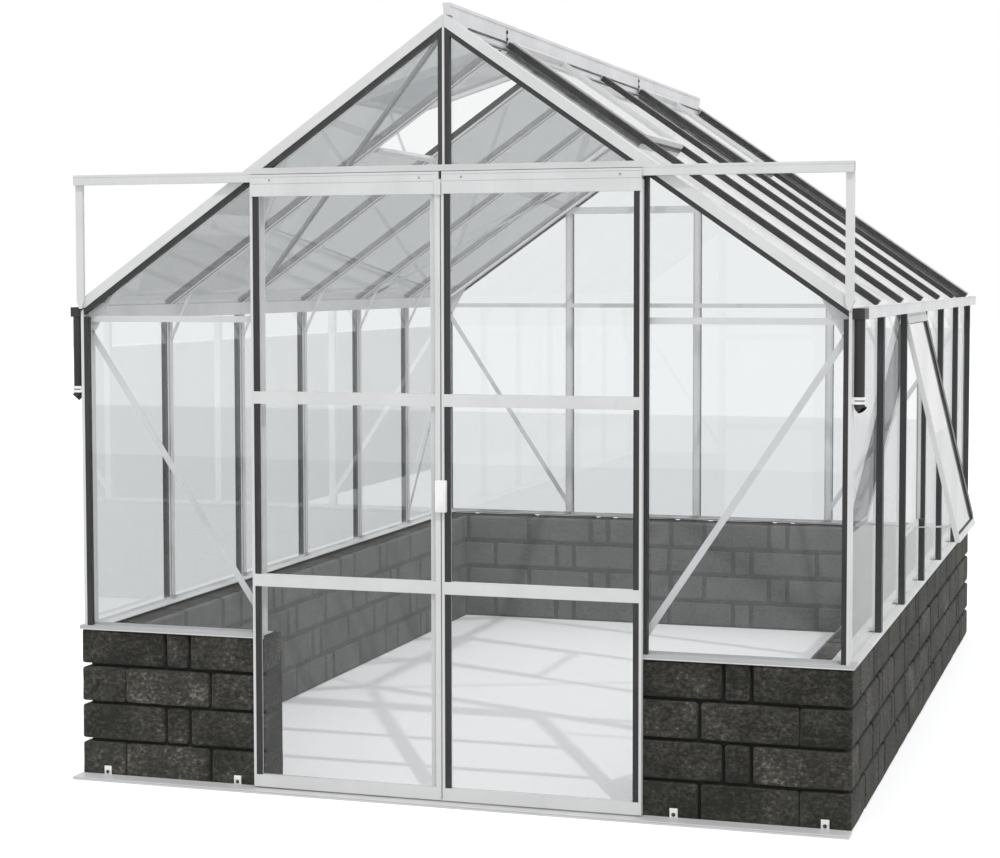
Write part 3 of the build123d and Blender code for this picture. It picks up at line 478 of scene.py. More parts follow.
coated = metal_finish(
    "powder coated aluminium", (0.71, 0.71, 0.71, 1), (0.52, 0.51, 0.48, 1), 0.38, 0.0, 0.10, 260.0, 0.10
)
milled = metal_finish(
    "mill aluminium", (0.74, 0.74, 0.75, 1), (0.46, 0.46, 0.44, 1), 0.36, 0.3, 0.12, 340.0, 0.15
)
zinc = metal_finish(
    "zinc plated steel", (0.55, 0.55, 0.56, 1), (0.33, 0.31, 0.28, 1), 0.36, 0.9, 0.15, 500.0, 0.12
)
dark_steel = metal_finish(
    "blackened steel", (0.06, 0.06, 0.06, 1), (0.14, 0.13, 0.12, 1), 0.42, 0.5, 0.15, 500.0, 0.12
)
# painted shade: a darker copy of the aluminium for the roof braces, for the shade under them
shaded_aluminium = metal_finish(
    "shade painted aluminium", (0.40, 0.41, 0.42, 1), (0.36, 0.36, 0.35, 1), 0.45, 0.2, 0.12, 340.0, 0.15
)
# painted shade: a darker copy of the aluminium for the gable base rails, for the grey their sloped sill
# shows under light from above
sill_aluminium = metal_finish(
    "shade painted sill aluminium", (0.53, 0.53, 0.535, 1), (0.42, 0.42, 0.40, 1), 0.42, 0.1, 0.12, 300.0, 0.12
)
pane_tint = (0.908, 0.921, 0.925, 1)
clear_glass = glass_finish("clear glass", pane_tint)
roof_pane_glass = glass_finish("dusty roof glass", pane_tint, film_weight=0.5)
# the side window's pane is painted near black in the other panes' mirror images, a painted reflection
sash_glass = glass_finish("side window glass", (0.985, 0.987, 0.987, 1), mirror_shade=0.95)
rubber = plastic_finish(
    "black glazing rubber", (0.030, 0.030, 0.030, 1), (0.16, 0.16, 0.15, 1), 0.42, 0.12
)
black = plastic_finish("black plastic", (0.018, 0.018, 0.018, 1), (0.14, 0.14, 0.13, 1), 0.38, 0.12)
white = plastic_finish("white plastic", (0.78, 0.78, 0.77, 1), (0.45, 0.44, 0.41, 1), 0.36, 0.08)
nylon = plastic_finish("roller nylon", (0.62, 0.61, 0.57, 1), (0.38, 0.37, 0.34, 1), 0.45, 0.12)
masonry = block_finish(
    "split block",
    (0.021, 0.0205, 0.0165, 1),
    (0.100, 0.095, 0.081, 1),
    (0.040, 0.044, 0.033, 1),
    (0.122, 0.122, 0.120, 1),
)
mortar = block_finish(
    "mortar",
    (0.028, 0.028, 0.026, 1),
    (0.036, 0.036, 0.033, 1),
    (0.050, 0.050, 0.045, 1),
    (0.090, 0.090, 0.088, 1),
)

finishes = {
    "aluminium": coated,
    "mill_aluminium": milled,
    "glass": clear_glass,
    "rubber_strip": rubber,
    "blockwork": masonry,
    "black_plastic": black,
    "white_plastic": white,
    "roller": nylon,
}
own_finishes = {
    "roof_glass": roof_pane_glass,
    "roof_vent_glass": roof_pane_glass,
    "side_window_glass": sash_glass,
    "roof_braces": shaded_aluminium,
    "gable_base_rails": sill_aluminium,
}
# the panes carry no mirror image of the strips and these bars lying against them
bars_on_panes = ("roof_bars", "side_bars", "side_braces", "roof_braces")
# the long edges of the metal and plastic parts are eased a little
eased_slots = ("aluminium", "mill_aluminium", "black_plastic", "white_plastic", "roller")
for part in frame["record"]["subparts"]:
    name, slot = part["node"], part["material_slot"]
    node = frame["nodes"][name]
    node.data.materials.clear()
    node.data.materials.append(own_finishes.get(name, finishes[slot]))
    if "strips" in name or name in bars_on_panes:
        node.visible_glossy = False
    if slot in eased_slots:
        softening = node.modifiers.new("eased edges", "BEVEL")
        softening.width = 0.0008
        softening.segments = 1
        softening.limit_method = "ANGLE"
        softening.angle_limit = radians(40)

# ------------------------------------------------------------------- block walls
course = 0.148
joint = 0.011
stretcher, half_block, narrow_block = 0.355, 0.177, 0.090
wall_thickness = 0.190
outer_rake = 0.030             # joints are raked out this deep on the outer faces
inner_rake = 0.004

wall_low, wall_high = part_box("front_walls")
rear_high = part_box("rear_wall")[1]
doorway_edge = 0.725
smallest_gap = 0.08            # a shorter rest of a run takes no block of its own


def block_pattern(length, number):
    """One split block lying along X, with its low front corner at the origin."""
    spare = 0.0018             # room for the uneven faces inside the block's true size
    far_corner = (length - spare, wall_thickness - spare, course - joint - spare)
    block = blank(f"block {number}", (spare, spare, spare), far_corner)
    open_up(block)
    bpy.ops.mesh.select_all(action="SELECT")
    bpy.ops.mesh.subdivide(number_cuts=1)
    bpy.ops.transform.vertex_random(offset=0.0022, uniform=0.3, seed=number)
    close_up()
    ease_edges(block, 0.010, 2)
    return block


patterns = {}
placed_blocks = {"left": [], "right": [], "rear": []}


def lay_block(side, length, corner, turn):
    """One block from a matching pattern, laid with its low corner at the place given."""
    key = (round(length, 3), random.randrange(2))
    if key not in patterns:
        patterns[key] = block_pattern(length, len(patterns) + 1)
    laid = copied(patterns[key], corner, turn)
    tone = laid.data.attributes.new("block_tone", "FLOAT", "FACE")
    shade = random.random()
    for index in range(len(laid.data.polygons)):
        tone.data[index].value = shade
    placed_blocks[side].append(laid)


def run_lengths(total, first, pattern):
    """Block lengths that fill a run with its joints, the last block cut to fit."""
    lengths = [first]
    used = first
    turn = 0
    while total - used > joint + smallest_gap:
        length = pattern[turn % len(pattern)]
        turn += 1
        left = total - used - joint
        if left - length < narrow_block:
            length = left
        lengths.append(length)
        used += joint + length
    return lengths


half_wall = wall_high.x
front_y, rear_y = wall_low.y, rear_high.y
for row in range(4):
    z = row * course
    long_first = row % 2 == 1
    front_run = half_wall - doorway_edge
    front_lengths = (
        [stretcher, narrow_block, front_run - stretcher - narrow_block - 2 * joint]
        if long_first
        else [half_block, stretcher, front_run - half_block - stretcher - 2 * joint]
    )
    # the short walls either side of the doorway, laid from each corner inwards
    for side, hand in (("left", -1), ("right", 1)):
        reach = half_wall
        for number, length in enumerate(front_lengths):
            inner = reach - length
            if number or long_first:
                start = inner if hand > 0 else -reach
                lay_block(side, length, (start, front_y, z), 0)
            reach = inner - joint
        # the long walls: where the front shows an end, that block runs along the side
        near_inset = wall_thickness + joint if long_first else 0
        far_inset = 0 if long_first else wall_thickness + joint
        total = rear_y - front_y - near_inset - far_inset
        pattern = (stretcher, half_block, stretcher, narrow_block, stretcher)
        shift = row + (0 if hand > 0 else 2)
        mixed = pattern[shift:] + pattern[:shift]
        along = front_y + near_inset
        for length in run_lengths(total, stretcher, mixed):
            face = half_wall if hand > 0 else -half_wall + wall_thickness
            lay_block(side, length, (face, along, z), pi / 2)
            along += length + joint
    # the rear wall, between or over the ends of the long walls in turn
    inset = wall_thickness + joint if long_first else 0
    start = -half_wall + inset
    rear_pattern = (stretcher, narrow_block, stretcher, half_block)
    for length in run_lengths(2 * (half_wall - inset), stretcher, rear_pattern):
        lay_block("rear", length, (start, rear_y - wall_thickness, z), 0)
        start += length + joint

scrap(*patterns.values())
block_nodes = {
    "left": ("front_walls", "side_walls"),
    "right": ("front_walls", "side_walls"),
    "rear": ("rear_wall",),
}

# the mortar of the bed joints and the upright joints, raked out and thinner than the blocks
mortar_rise = (0.002, 4 * course - joint - 0.004)
heart = half_wall - wall_thickness + inner_rake     # inner face of the long walls' mortar
front_face = front_y + outer_rake
mortar_runs = (
    ((heart, half_wall - outer_rake), (front_face, rear_y - outer_rake)),
    ((doorway_edge + inner_rake, heart), (front_face, front_y + wall_thickness - inner_rake)),
)
for side, hand in (("left", -1), ("right", 1)):
    for number, (across, along) in enumerate(mortar_runs):
        core = sided(f"{side}_mortar_{number + 1}", hand, across, along, mortar_rise)
        ease_edges(core, 0.003, 1)
        finish_piece(core, "frame", "blockwork", mortar)
rear_core = blank(
    "rear_mortar",
    (-heart, rear_y - wall_thickness + inner_rake, mortar_rise[0]),
    (heart, rear_y - outer_rake, mortar_rise[1]),
)
ease_edges(rear_core, 0.003, 1)
finish_piece(rear_core, "frame", "blockwork", mortar)

for side, laid in placed_blocks.items():
    wall = joined(f"{side}_blocks", laid)
    finish_piece(wall, "frame", "blockwork", masonry, *block_nodes[side])

# --------------------------------------------------------------- small fittings
out_front, out_back, upwards, rightwards = (0, -1, 0), (0, 1, 0), (0, 0, 1), (1, 0, 0)


def scored(piece, *cuts):
    """Cuts right round a piece, each through a point and square to a direction."""
    open_up(piece)
    for place, across in cuts:
        bpy.ops.mesh.select_all(action="SELECT")
        bpy.ops.mesh.bisect(plane_co=place, plane_no=across)
    close_up()


def drawn(piece, wanted, by):
    """The wanted faces are drawn out or pushed in."""
    open_up(piece)
    pick_faces(piece, wanted)
    bpy.ops.mesh.extrude_region_move(TRANSFORM_OT_translate={"value": by})
    close_up()


def grooved(piece, edges, reach, depth):
    """A groove along the front of a rail between two levels, stopped at a reach to either side."""
    levels = [((0, 0, z), upwards) for z in edges]
    stops = [((x, 0, 0), rightwards) for x in (-reach, reach)]
    scored(piece, *levels, *stops)

    def in_groove(centre, normal):
        return normal.y < -0.9 and min(edges) < centre.z < max(edges) and abs(centre.x) < reach

    drawn(piece, in_groove, (0, depth, 0))


def bolt_pattern(name, radius, height, sides=12):
    """A low domed bolt head on the origin, facing up, with a socket in its top."""
    bolt = turned_blank(name, (0, 0, 0), (0, 0, height), radius, sides)
    ease_edges(bolt, height * 0.4, 2)
    open_up(bolt)
    pick_faces(bolt, lambda centre, normal: normal.z > 0.99 and centre.z > height * 0.9)
    bpy.ops.mesh.inset(thickness=radius * 0.3)
    bpy.ops.transform.translate(value=(0, 0, -height * 0.5))
    close_up()
    return bolt


def set_in(pattern, seats):
    """Copies of a pattern, each on its place and facing along its direction."""
    made = []
    for place, facing in seats:
        take_up(pattern)
        bpy.ops.object.duplicate(linked=False)
        twin = bpy.context.object
        turn = Vector(facing).to_track_quat("Z", "Y").to_matrix().to_4x4()
        twin.matrix_world = Matrix.Translation(place) @ turn
        settle(twin)
        made.append(twin)
    return made


bolt_head = bolt_pattern("bolt", 0.0075, 0.0042)
screw_head = bolt_pattern("screw", 0.0042, 0.0022, 10)

# the doors: screws and two grooves along the fascias
fascia_low, fascia_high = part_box("left_door_fascia")
face_y = fascia_low.y
screw_drop, screw_places = 0.021, (0.081, 0.674)
fascia_grooves = ((0.009, 0.011), (0.034, 0.036))     # drops from the fascia's top edge
groove_start, groove_end = 0.009, 0.748


def in_fascia_groove(centre, normal):
    drop = fascia_high.z - centre.z
    level = any(top < drop < bottom for top, bottom in fascia_grooves)
    return normal.y < -0.9 and level and groove_start < abs(centre.x) < groove_end


for side, hand in (("left", -1), ("right", 1)):
    screws = set_in(
        screw_head,
        [((hand * x, face_y + 0.0003, fascia_high.z - screw_drop), out_front) for x in screw_places],
    )
    finish_piece(joined(f"{side}_fascia_screws", screws), f"{side}_door", "mill_aluminium", zinc)
    fascia = sided(
        f"{side}_fascia_face",
        hand,
        (-fascia_high.x, -fascia_low.x),
        (face_y, fascia_high.y),
        (fascia_low.z, fascia_high.z),
    )
    levels = [((0, 0, fascia_high.z - drop), upwards) for groove in fascia_grooves for drop in groove]
    stops = [((hand * x, 0, 0), rightwards) for x in (groove_start, groove_end)]
    scored(fascia, *levels, *stops)
    drawn(fascia, in_fascia_groove, (0, 0.0015, 0))
    finish_piece(fascia, f"{side}_door", "aluminium", coated, f"{side}_door_fascia")

# the closing stile runs up past the fascias to a rounded head, under a black guide
head_top, head_round = 2.309, 0.009
closing_head = blank(
    "closing_stile_head", (-0.022, face_y - 0.005, fascia_low.z - 0.004), (0.003, face_y, head_top)
)
open_up(closing_head)
pick_edges(closing_head, lambda middle, run: middle.z > head_top - head_round and abs(run.y) > 0.9)
bpy.ops.mesh.bevel(offset=head_round, segments=4)
close_up()
ease_edges(closing_head, 0.0012, 1)
finish_piece(closing_head, "left_door", "aluminium", coated)

guide = blank(
    "meeting_guide", (-0.0045, face_y + 0.001, head_top), (0.004, face_y + 0.008, fascia_high.z)
)
open_up(guide)
pick_faces(guide, lambda centre, normal: normal.z < -0.9)
bpy.ops.transform.resize(value=(0.35, 1, 1))
close_up()
ease_edges(guide, 0.0006, 1)
finish_piece(guide, "left_door", "black_plastic", black)

handle_low, handle_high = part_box("door_handle")
handle = blank("handle_plate", handle_low, handle_high)
ease_edges(handle, 0.004, 3)
open_up(handle)
pick_faces(handle, lambda centre, normal: normal.y < -0.99)
bpy.ops.mesh.inset(thickness=0.002)
bpy.ops.transform.translate(value=(0, 0.0006, 0))
close_up()
finish_piece(handle, "left_door", "white_plastic", white, "door_handle")

# the track: a groove under the lip along its top, and a black strip along the fascias' top edge, a
# painted shadow of the gap under the track
track_low, track_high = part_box("door_track")
track_face = blank(
    "track_face_trim",
    (track_low.x, track_low.y - 0.0015, track_low.z),
    (track_high.x, track_low.y, track_high.z),
)
track_groove = (track_high.z - 0.009, track_high.z - 0.012)     # its upper and lower edge
grooved(track_face, track_groove, track_high.x - 0.002, 0.0011)
finish_piece(track_face, "frame", "aluminium", coated)

# painted shadow: a thin black strip on the fascias' top edge stands for the shadow line under the track
shadow_line_inset = 0.745
shadow_line = blank(
    "fascia_shadow_line",
    (track_low.x + shadow_line_inset, track_low.y - 0.0030, fascia_high.z - 0.001),
    (track_high.x - shadow_line_inset, track_low.y - 0.0016, fascia_high.z + 0.0022),
)
ease_edges(shadow_line, 0.0004, 1)
finish_piece(shadow_line, "frame", "rubber_strip", rubber)

# the threshold: a groove under its top edge, and four creased plates that bolt it to the walls
sill_low, sill_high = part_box("threshold_rail")
sill_groove = (0.0072, 0.0086)
sill = blank("threshold", sill_low, sill_high)
ease_edges(sill, 0.0012, 1)
grooved(sill, sill_groove, sill_high.x - 0.004, 0.004)
finish_piece(sill, "frame", "aluminium", coated, "threshold_rail")

plates = []
plate_bolts = []
tab_low, tab_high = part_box("threshold_brackets")
plate_middles = (-1.392, -0.839, 0.867, 1.410)
plate_half, bolt_rise = 0.015, 0.010
crease = tab_high.z - 0.014
for middle in plate_middles:
    plate = blank(
        "bracket plate",
        (middle - plate_half, tab_low.y, tab_low.z),
        (middle + plate_half, tab_high.y, tab_high.z),
    )
    ease_edges(plate, 0.001, 1)
    scored(plate, ((middle, 0, crease), upwards))
    open_up(plate)
    pick_edges(plate, lambda spot, run: abs(spot.z - crease) < 0.0003 and spot.y < tab_low.y + 0.0005)
    bpy.ops.transform.translate(value=(0, -0.002, 0))
    close_up()
    plates.append(plate)
    seat = (middle, tab_low.y + 0.0008, tab_low.z + bolt_rise)
    plate_bolts.extend(set_in(bolt_head, [(seat, out_front)]))
finish_piece(joined("bracket_plates", plates), "frame", "aluminium", white, "threshold_brackets")
finish_piece(joined("bracket_bolts", plate_bolts), "frame", "mill_aluminium", dark_steel)

# the rails on the wall: a bright drip edge along the bottom of the front gable's rail
rail_low, rail_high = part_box("gable_base_rails")
drip_edges = []
for low_x, high_x in ((rail_low.x, -doorway_edge), (doorway_edge, rail_high.x)):
    drip_edge = blank(
        "drip edge",
        (low_x + 0.001, rail_low.y - 0.0009, rail_low.z),
        (high_x - 0.001, rail_low.y, rail_low.z + 0.0042),
    )
    ease_edges(drip_edge, 0.0004, 1)
    drip_edges.append(drip_edge)
finish_piece(joined("drip_edges", drip_edges), "frame", "aluminium", coated)

# the downpipes: a clip of two rings and a lug, and a bent outlet with an open mouth
pipe_low, pipe_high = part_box("downpipes")
clip_low, clip_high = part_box("pipe_clips")
outlet_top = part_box("pipe_shoes")[1].z
pipe_radius = (pipe_high.y - pipe_low.y) / 2
pipe_y = (pipe_high.y + pipe_low.y) / 2
pipe_x = pipe_high.x - pipe_radius
ring_height, ring_pitch, ring_wall = 0.0105, 0.0145, 0.004
lug_reach, lug_half = (1.489, 1.500), 0.014
collar = 0.004                 # straight length of an outlet above its first bend
outlet_steps = ((0.003, -0.007), (0.010, -0.008))     # outwards and down to each bend
outlet_wall = 0.0028
outlet_bend = radians(21)
outlet_turn = radians(30)      # the mouths face a little forwards of straight out
rings = []
outlets = []
for hand in (-1, 1):
    side_x = hand * pipe_x
    for low in (clip_low.z, clip_low.z + ring_pitch):
        ring_ends = ((side_x, pipe_y, low), (side_x, pipe_y, low + ring_height))
        ring = turned_blank("clip ring", *ring_ends, pipe_radius + ring_wall, 24)
        ease_edges(ring, 0.001, 1)
        rings.append(ring)
    lug = sided(
        "clip lug", hand, lug_reach, (pipe_y - lug_half, pipe_y + lug_half), (clip_low.z, clip_high.z)
    )
    ease_edges(lug, 0.0015, 1)
    rings.append(lug)
    mouth = Vector((side_x, pipe_y, outlet_top - collar))
    outlet = turned_blank("outlet", mouth, (side_x, pipe_y, outlet_top), pipe_radius, 24)
    open_up(outlet)
    for out, down in outlet_steps:
        pick_faces(outlet, lambda centre, normal: normal.z < -0.5 and centre.z < outlet_top - 0.003)
        step = Vector((hand * out, 0, down))
        bpy.ops.mesh.extrude_region_move(TRANSFORM_OT_translate={"value": step})
        mouth += step
        bpy.ops.transform.rotate(value=hand * outlet_bend, orient_axis="Y", center_override=mouth)
    bpy.ops.mesh.inset(thickness=outlet_wall)
    bpy.ops.mesh.extrude_region_move(TRANSFORM_OT_translate={"value": (-hand * 0.008, 0, 0.009)})
    close_up()
    axis = Vector((side_x, pipe_y, 0))
    turn = Matrix.Rotation(-hand * outlet_turn, 4, "Z")
    outlet.matrix_world = Matrix.Translation(axis) @ turn @ Matrix.Translation(-axis)
    settle(outlet)
    outlets.append(outlet)
finish_piece(joined("clip_rings", rings), "frame", "white_plastic", white, "pipe_clips")
finish_piece(joined("pipe_outlets", outlets), "frame", "black_plastic", black, "pipe_shoes")

# beads along the gutters' outer lips, behind the hoppers
gutter_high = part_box("gutters")[1]
bead_radius, bead_start = 0.0029, 0.151
beads = []
for hand in (-1, 1):
    bead_x, bead_z = hand * (gutter_high.x + 0.0005), gutter_high.z - 0.0030
    bead = turned_blank(
        "bead", (bead_x, bead_start, bead_z), (bead_x, gutter_high.y - 0.0005, bead_z), bead_radius, 10
    )
    ease_edges(bead, 0.0006, 1, 60)
    beads.append(bead)
finish_piece(joined("gutter_beads", beads), "frame", "mill_aluminium", milled)

# the gables' corners: bolts through the gussets and the braces' ends
gusset_low, gusset_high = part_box("corner_gussets")
gable_sides = ((gusset_low.y - 0.0002, out_front), (gusset_high.y + 0.0002, out_back))
gable_bolts = ((1.452, 1.800), (1.405, 1.862), (1.456, 1.744), (0.752, 0.630))     # x and z
bolts_and_cleats = []
for y, facing in gable_sides:
    for x, z in gable_bolts:
        bolts_and_cleats.extend(set_in(bolt_head, [((hand * x, y, z), facing) for hand in (-1, 1)]))

# the bars' feet: a cleat with its bolt on the base rail, and a bolt through each side bar's head
bay, first_bar = 0.745, 0.055
bar_places = [first_bar + bay * number for number in range(1, 6)]
cleat_half, cleat_rise, cleat_bolt_z = 0.022, (0.6050, 0.6085), 0.6083
side_cleat, side_bolt_x = (1.452, 1.477), 1.463
rear_cleat, rear_bolt_y = (4.470, 4.493), 4.481
bar_face, head_bolt_z = 1.4665, 1.700
for y in bar_places:
    for hand in (-1, 1):
        foot = sided("foot cleat", hand, side_cleat, (y - cleat_half, y + cleat_half), cleat_rise)
        ease_edges(foot, 0.0012, 1)
        bolts_and_cleats.append(foot)
        seats = (
            ((hand * side_bolt_x, y - 0.012, cleat_bolt_z), upwards),
            ((hand * bar_face, y + 0.003, head_bolt_z), (-hand, 0, 0)),
        )
        bolts_and_cleats.extend(set_in(bolt_head, seats))
for x in (-bay, 0, bay):
    cleat = blank(
        "rear cleat",
        (x - cleat_half, rear_cleat[0], cleat_rise[0]),
        (x + cleat_half, rear_cleat[1], cleat_rise[1]),
    )
    ease_edges(cleat, 0.0012, 1)
    bolts_and_cleats.append(cleat)
    bolts_and_cleats.extend(set_in(bolt_head, [((x + 0.012, rear_bolt_y, cleat_bolt_z), upwards)]))
finish_piece(joined("frame_bolts", bolts_and_cleats), "frame", "mill_aluminium", zinc)

# the ridge cap comes in three lengths: dark seams with bolts where they meet
cap_low, cap_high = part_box("ridge_cap")
cap_side = 0.0122
seam_half, seam_reach = 0.0025, (0.0118, 0.0132)
seam_rise = (cap_low.z + 0.040, cap_high.z - 0.016)
cap_bolts = (cap_low.z + 0.050, cap_low.z + 0.078)
seams = []
for y in (bar_places[0], bar_places[3]):
    for hand in (-1, 1):
        seam = sided("cap seam", hand, seam_reach, (y - seam_half, y + seam_half), seam_rise)
        ease_edges(seam, 0.0005, 1)
        seams.append(seam)
        seams.extend(set_in(bolt_head, [((hand * cap_side, y, z), (hand, 0, 0)) for z in cap_bolts]))
finish_piece(joined("ridge_joints", seams), "frame", "black_plastic", black)
scrap(bolt_head, screw_head)

# the side window's jambs: thin seals in the gap that the sash closes into
nose_half, jamb_seal_depth, jamb_seal_reach = 0.004, 0.0025, 0.019
strip_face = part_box("side_strips")[1].x - 0.0002
seat_low, seat_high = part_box("side_window_seat")
jamb_seals = []
for jamb_y in (bar_places[1] + nose_half, bar_places[2] - nose_half - jamb_seal_depth):
    jamb_seal = blank(
        "jamb seal",
        (strip_face - jamb_seal_reach, jamb_y, seat_low.z + 0.010),
        (strip_face, jamb_y + jamb_seal_depth, seat_high.z - 0.002),
    )
    ease_edges(jamb_seal, 0.0006, 1)
    jamb_seals.append(jamb_seal)
window_jamb_seals = joined("window_jamb_seals", jamb_seals)
window_jamb_seals.visible_glossy = False
finish_piece(window_jamb_seals, "frame", "rubber_strip", rubber)

# the open sash, worked as if it hung straight down from the origin and then swung out: seals round
# its pane, a black seam under its head, and a black band over the outer face of its far stile
sash_low, sash_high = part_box("side_window_frame")
swing = radians(13.5)
sash_depth, sash_member, sash_head = 0.020, 0.026, 0.045
hinge = Vector((sash_low.x + sash_depth * cos(swing), 0, sash_high.z))
sash_length = (hinge.z - sash_low.z - sash_depth * sin(swing)) / cos(swing)
opening_foot = sash_member - sash_length
near_y, far_y = sash_low.y + sash_member, sash_high.y - sash_member
seal_width = 0.0025
seal_back, seal_face = -0.011, -0.003
band_back, band_face = -0.0005, 0.0004
seal_places = (
    ((far_y - seal_width, far_y), (opening_foot, -sash_head)),
    ((near_y, far_y), (opening_foot, opening_foot + seal_width)),
    ((near_y, far_y), (-sash_head - 0.003, -sash_head)),
)
head_seam = (-0.0150, -0.0132)
band_places = (
    ((sash_low.y + 0.002, sash_high.y - 0.002), head_seam),
    ((far_y - 0.001, sash_high.y - 0.003), (opening_foot + 0.012, -sash_head)),
)
seals = []
for (low_y, high_y), (low_z, high_z) in seal_places:
    seal = blank("sash seal", (seal_back, low_y, low_z), (seal_face, high_y, high_z))
    ease_edges(seal, 0.0006, 1)
    seals.append(seal)
for (low_y, high_y), (low_z, high_z) in band_places:
    band = blank("sash band", (band_back, low_y, low_z), (band_face, high_y, high_z))
    ease_edges(band, 0.0002, 1)
    seals.append(band)
sash_seals = joined("side_window_seals", seals)
sash_seals.matrix_world = Matrix.Translation(hinge) @ Matrix.Rotation(-swing, 4, "Y")
settle(sash_seals)
finish_piece(sash_seals, "frame", "rubber_strip", rubber)

# the roof: black strips under the ridge cap, and black strips below the closed vents' lower edges that
# paint the shadow of a gap there
slope = atan2(1.042, 1.490)     # rise over reach, from the eaves to the ridge
ridge_level = 2.902


def on_slope(name, hand, down, along, out):
    """A blank lying in the roof: its reach down the slope, its place along the ridge and its height."""
    piece = sided(name, hand, down, along, out)
    ease_edges(piece, 0.0005, 1)
    piece.matrix_world = Matrix.Translation((0, 0, ridge_level)) @ Matrix.Rotation(hand * slope, 4, "Y")
    settle(piece)
    return piece


ridge_strip_run = (0.300, 4.480)
ridge_strip_rise = (ridge_level - 0.024, ridge_level - 0.017)
vent_edge = 0.6975             # lower edge of a closed vent, down the slope from the ridge line
vent_start, vent_end = 0.026, 0.719     # along its bay
roof_seals = []
for hand in (-1, 1):
    seal = sided("ridge strip", hand, (cap_side, 0.0165), ridge_strip_run, ridge_strip_rise)
    ease_edges(seal, 0.0006, 1)
    roof_seals.append(seal)
# painted shadow: a black strip below each closed vent's lower edge stands for the shadow of a gap there
for hand, bay_start in ((1, bar_places[0]), (1, bar_places[3]), (-1, bar_places[3])):
    along = (bay_start + vent_start, bay_start + vent_end)
    seal = on_slope("vent gap shadow", hand, (vent_edge, vent_edge + 0.003), along, (-0.029, -0.015))
    roof_seals.append(seal)
finish_piece(joined("roof_seals", roof_seals), "frame", "rubber_strip", rubber)

# ------------------------------------------------------------ camera and the light
scene = bpy.context.scene
scene.view_settings.view_transform = "Standard"

yaw, pitch, roll = radians(-18.135), radians(-3.368), radians(-0.133)
ahead = Vector((sin(yaw) * cos(pitch), cos(yaw) * cos(pitch), sin(pitch)))
level_right = Vector((cos(yaw), -sin(yaw), 0))
level_up = level_right.cross(ahead)
camera_right = cos(roll) * level_right + sin(roll) * level_up
camera_up = -sin(roll) * level_right + cos(roll) * level_up
lens = bpy.data.cameras.new("viewpoint")
lens.lens = 77.63
lens.sensor_width = 36
lens.shift_x = 0.0368
lens.shift_y = -0.0221
lens.clip_end = 200
viewpoint = bpy.data.objects.new("viewpoint", lens)
scene.collection.objects.link(viewpoint)
stand = Vector((2.5325, -7.4641, 1.9412))
viewpoint.matrix_world = Matrix.Translation(stand) @ Matrix(
    (camera_right, camera_up, -ahead)
).transposed().to_4x4()
scene.camera = viewpoint

put_down_everything()
bpy.ops.mesh.primitive_plane_add(size=1, location=(-2, 32.95, 0))
bpy.ops.transform.resize(value=(52, 94.1, 1))
floor = bpy.context.object
floor.name = "studio_floor"
settle(floor)

floor_finish, floor_tree, floor_shader = new_finish("studio floor")
floor_shader.inputs["Roughness"].default_value = 0.9
floor_path = floor_tree.nodes.new("ShaderNodeLightPath")
floor_place = floor_tree.nodes.new("ShaderNodeTexCoord")
floor_reach = floor_tree.nodes.new("ShaderNodeSeparateXYZ")
wire(floor_tree, floor_place.outputs["Object"], floor_reach.inputs["Vector"])
# painted reflection: the floor is painted near black where the front panes mirror it and where the left
# panes mirror what lies beyond the right ones, and this painted darkness gives the glass its tone
# against the white backdrop
right_of_house, far_off = 1.7, 22.8
in_front = arithmetic(floor_tree, "LESS_THAN", floor_reach.outputs["Y"], 0.0)
beyond_right = arithmetic(floor_tree, "GREATER_THAN", floor_reach.outputs["X"], right_of_house)
mirrored = arithmetic(floor_tree, "MULTIPLY", in_a_mirror(floor_tree, floor_path), in_front)
past_glass = floor_path.outputs["Is Transmission Ray"]
behind_glass = arithmetic(floor_tree, "MULTIPLY", past_glass, beyond_right)
darkened = arithmetic(floor_tree, "MAXIMUM", mirrored, behind_glass)
floor_tone = blended(floor_tree, darkened, (0.82, 0.82, 0.82, 1), (0.02, 0.02, 0.02, 1))
wire(floor_tree, floor_tone, floor_shader.inputs["Base Color"])
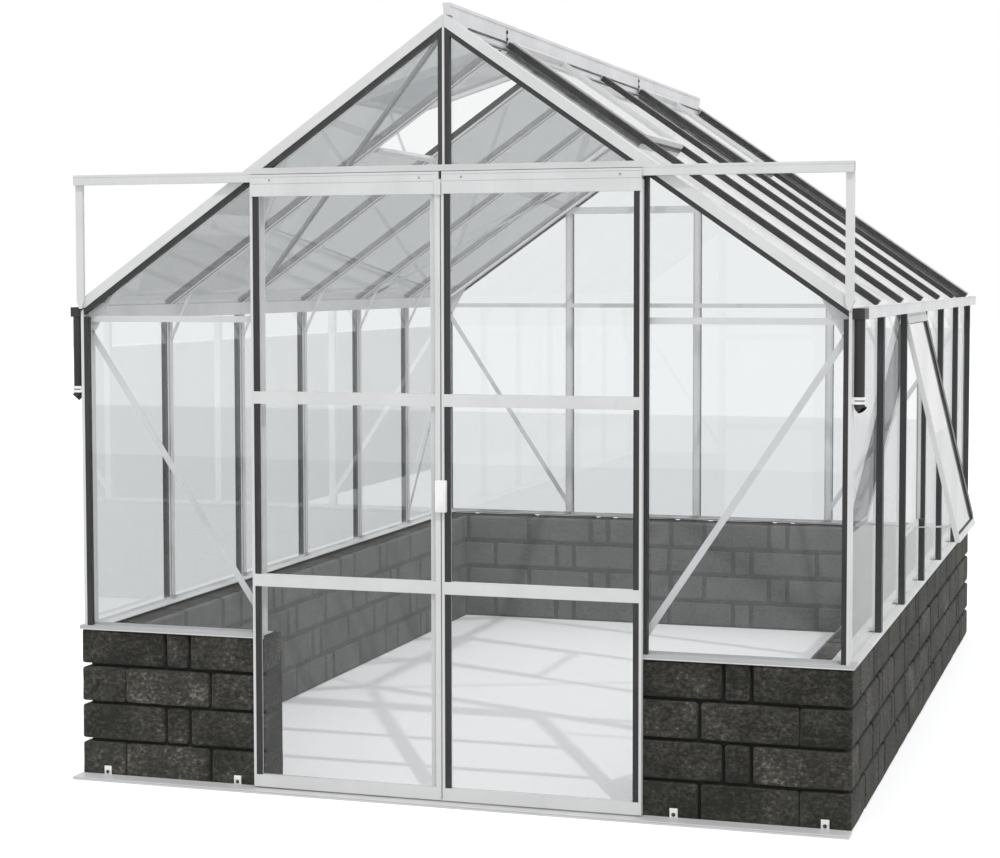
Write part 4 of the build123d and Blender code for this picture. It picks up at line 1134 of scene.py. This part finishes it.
# the floor brightens to the white of the backdrop and keeps the shadow laid on it; inside the walls it
# also glows a little where it is seen through the panes, a painted light for the inside of the house
within_sides = close_to(floor_tree, floor_reach.outputs["X"], 0.0, 1.4)
within_gables = close_to(floor_tree, floor_reach.outputs["Y"], mid_length, 2.2)
indoors = arithmetic(floor_tree, "MULTIPLY", within_sides, within_gables)
through_glass = arithmetic(floor_tree, "MULTIPLY", indoors, past_glass)
bright, faint = 0.40, 0.14
open_glow = arithmetic(floor_tree, "MULTIPLY", floor_path.outputs["Is Camera Ray"], bright)
pane_glow = arithmetic(floor_tree, "MULTIPLY", through_glass, faint)
near_glow = arithmetic(floor_tree, "ADD", open_glow, pane_glow)
# far behind the house the floor runs out into the backdrop
far_behind = arithmetic(floor_tree, "GREATER_THAN", floor_reach.outputs["Y"], far_off)
not_beyond = arithmetic(floor_tree, "SUBTRACT", 1.0, beyond_right)
run_out = arithmetic(floor_tree, "MULTIPLY", far_behind, not_beyond)
far_glow = arithmetic(floor_tree, "MULTIPLY", run_out, faint)
glow = arithmetic(floor_tree, "MAXIMUM", near_glow, far_glow)
wire(floor_tree, glow, floor_shader.inputs["Emission Strength"])
floor_shader.inputs["Emission Color"].default_value = (1, 1, 1, 1)
floor.data.materials.append(floor_finish)

world = bpy.data.worlds.new("studio")
scene.world = world
world.use_nodes = True
world_tree = world.node_tree
sky = world_tree.nodes["Background"]
sky.inputs["Color"].default_value = (0.98, 0.99, 1.0, 1)
sky.inputs["Strength"].default_value = 0.85
backdrop = world_tree.nodes.new("ShaderNodeBackground")
backdrop.inputs["Color"].default_value = (1, 1, 1, 1)
backdrop.inputs["Strength"].default_value = 1.0
world_path = world_tree.nodes.new("ShaderNodeLightPath")
in_glass = arithmetic(
    world_tree, "MAXIMUM", world_path.outputs["Is Glossy Ray"], world_path.outputs["Is Transmission Ray"]
)
seen = arithmetic(world_tree, "MAXIMUM", world_path.outputs["Is Camera Ray"], in_glass)
around = mixed_shaders(world_tree, seen, sky.outputs["Background"], backdrop.outputs["Background"])
wire(world_tree, around, world_tree.nodes["World Output"].inputs["Surface"])

put_down_everything()
bpy.ops.object.light_add(type="SUN", location=(4, -2, 8))
sun = bpy.context.object
sun.name = "soft sun"
sun.data.energy = 0.95
sun.data.angle = radians(1)
sun.rotation_euler = (radians(38.9), 0, radians(27.7))
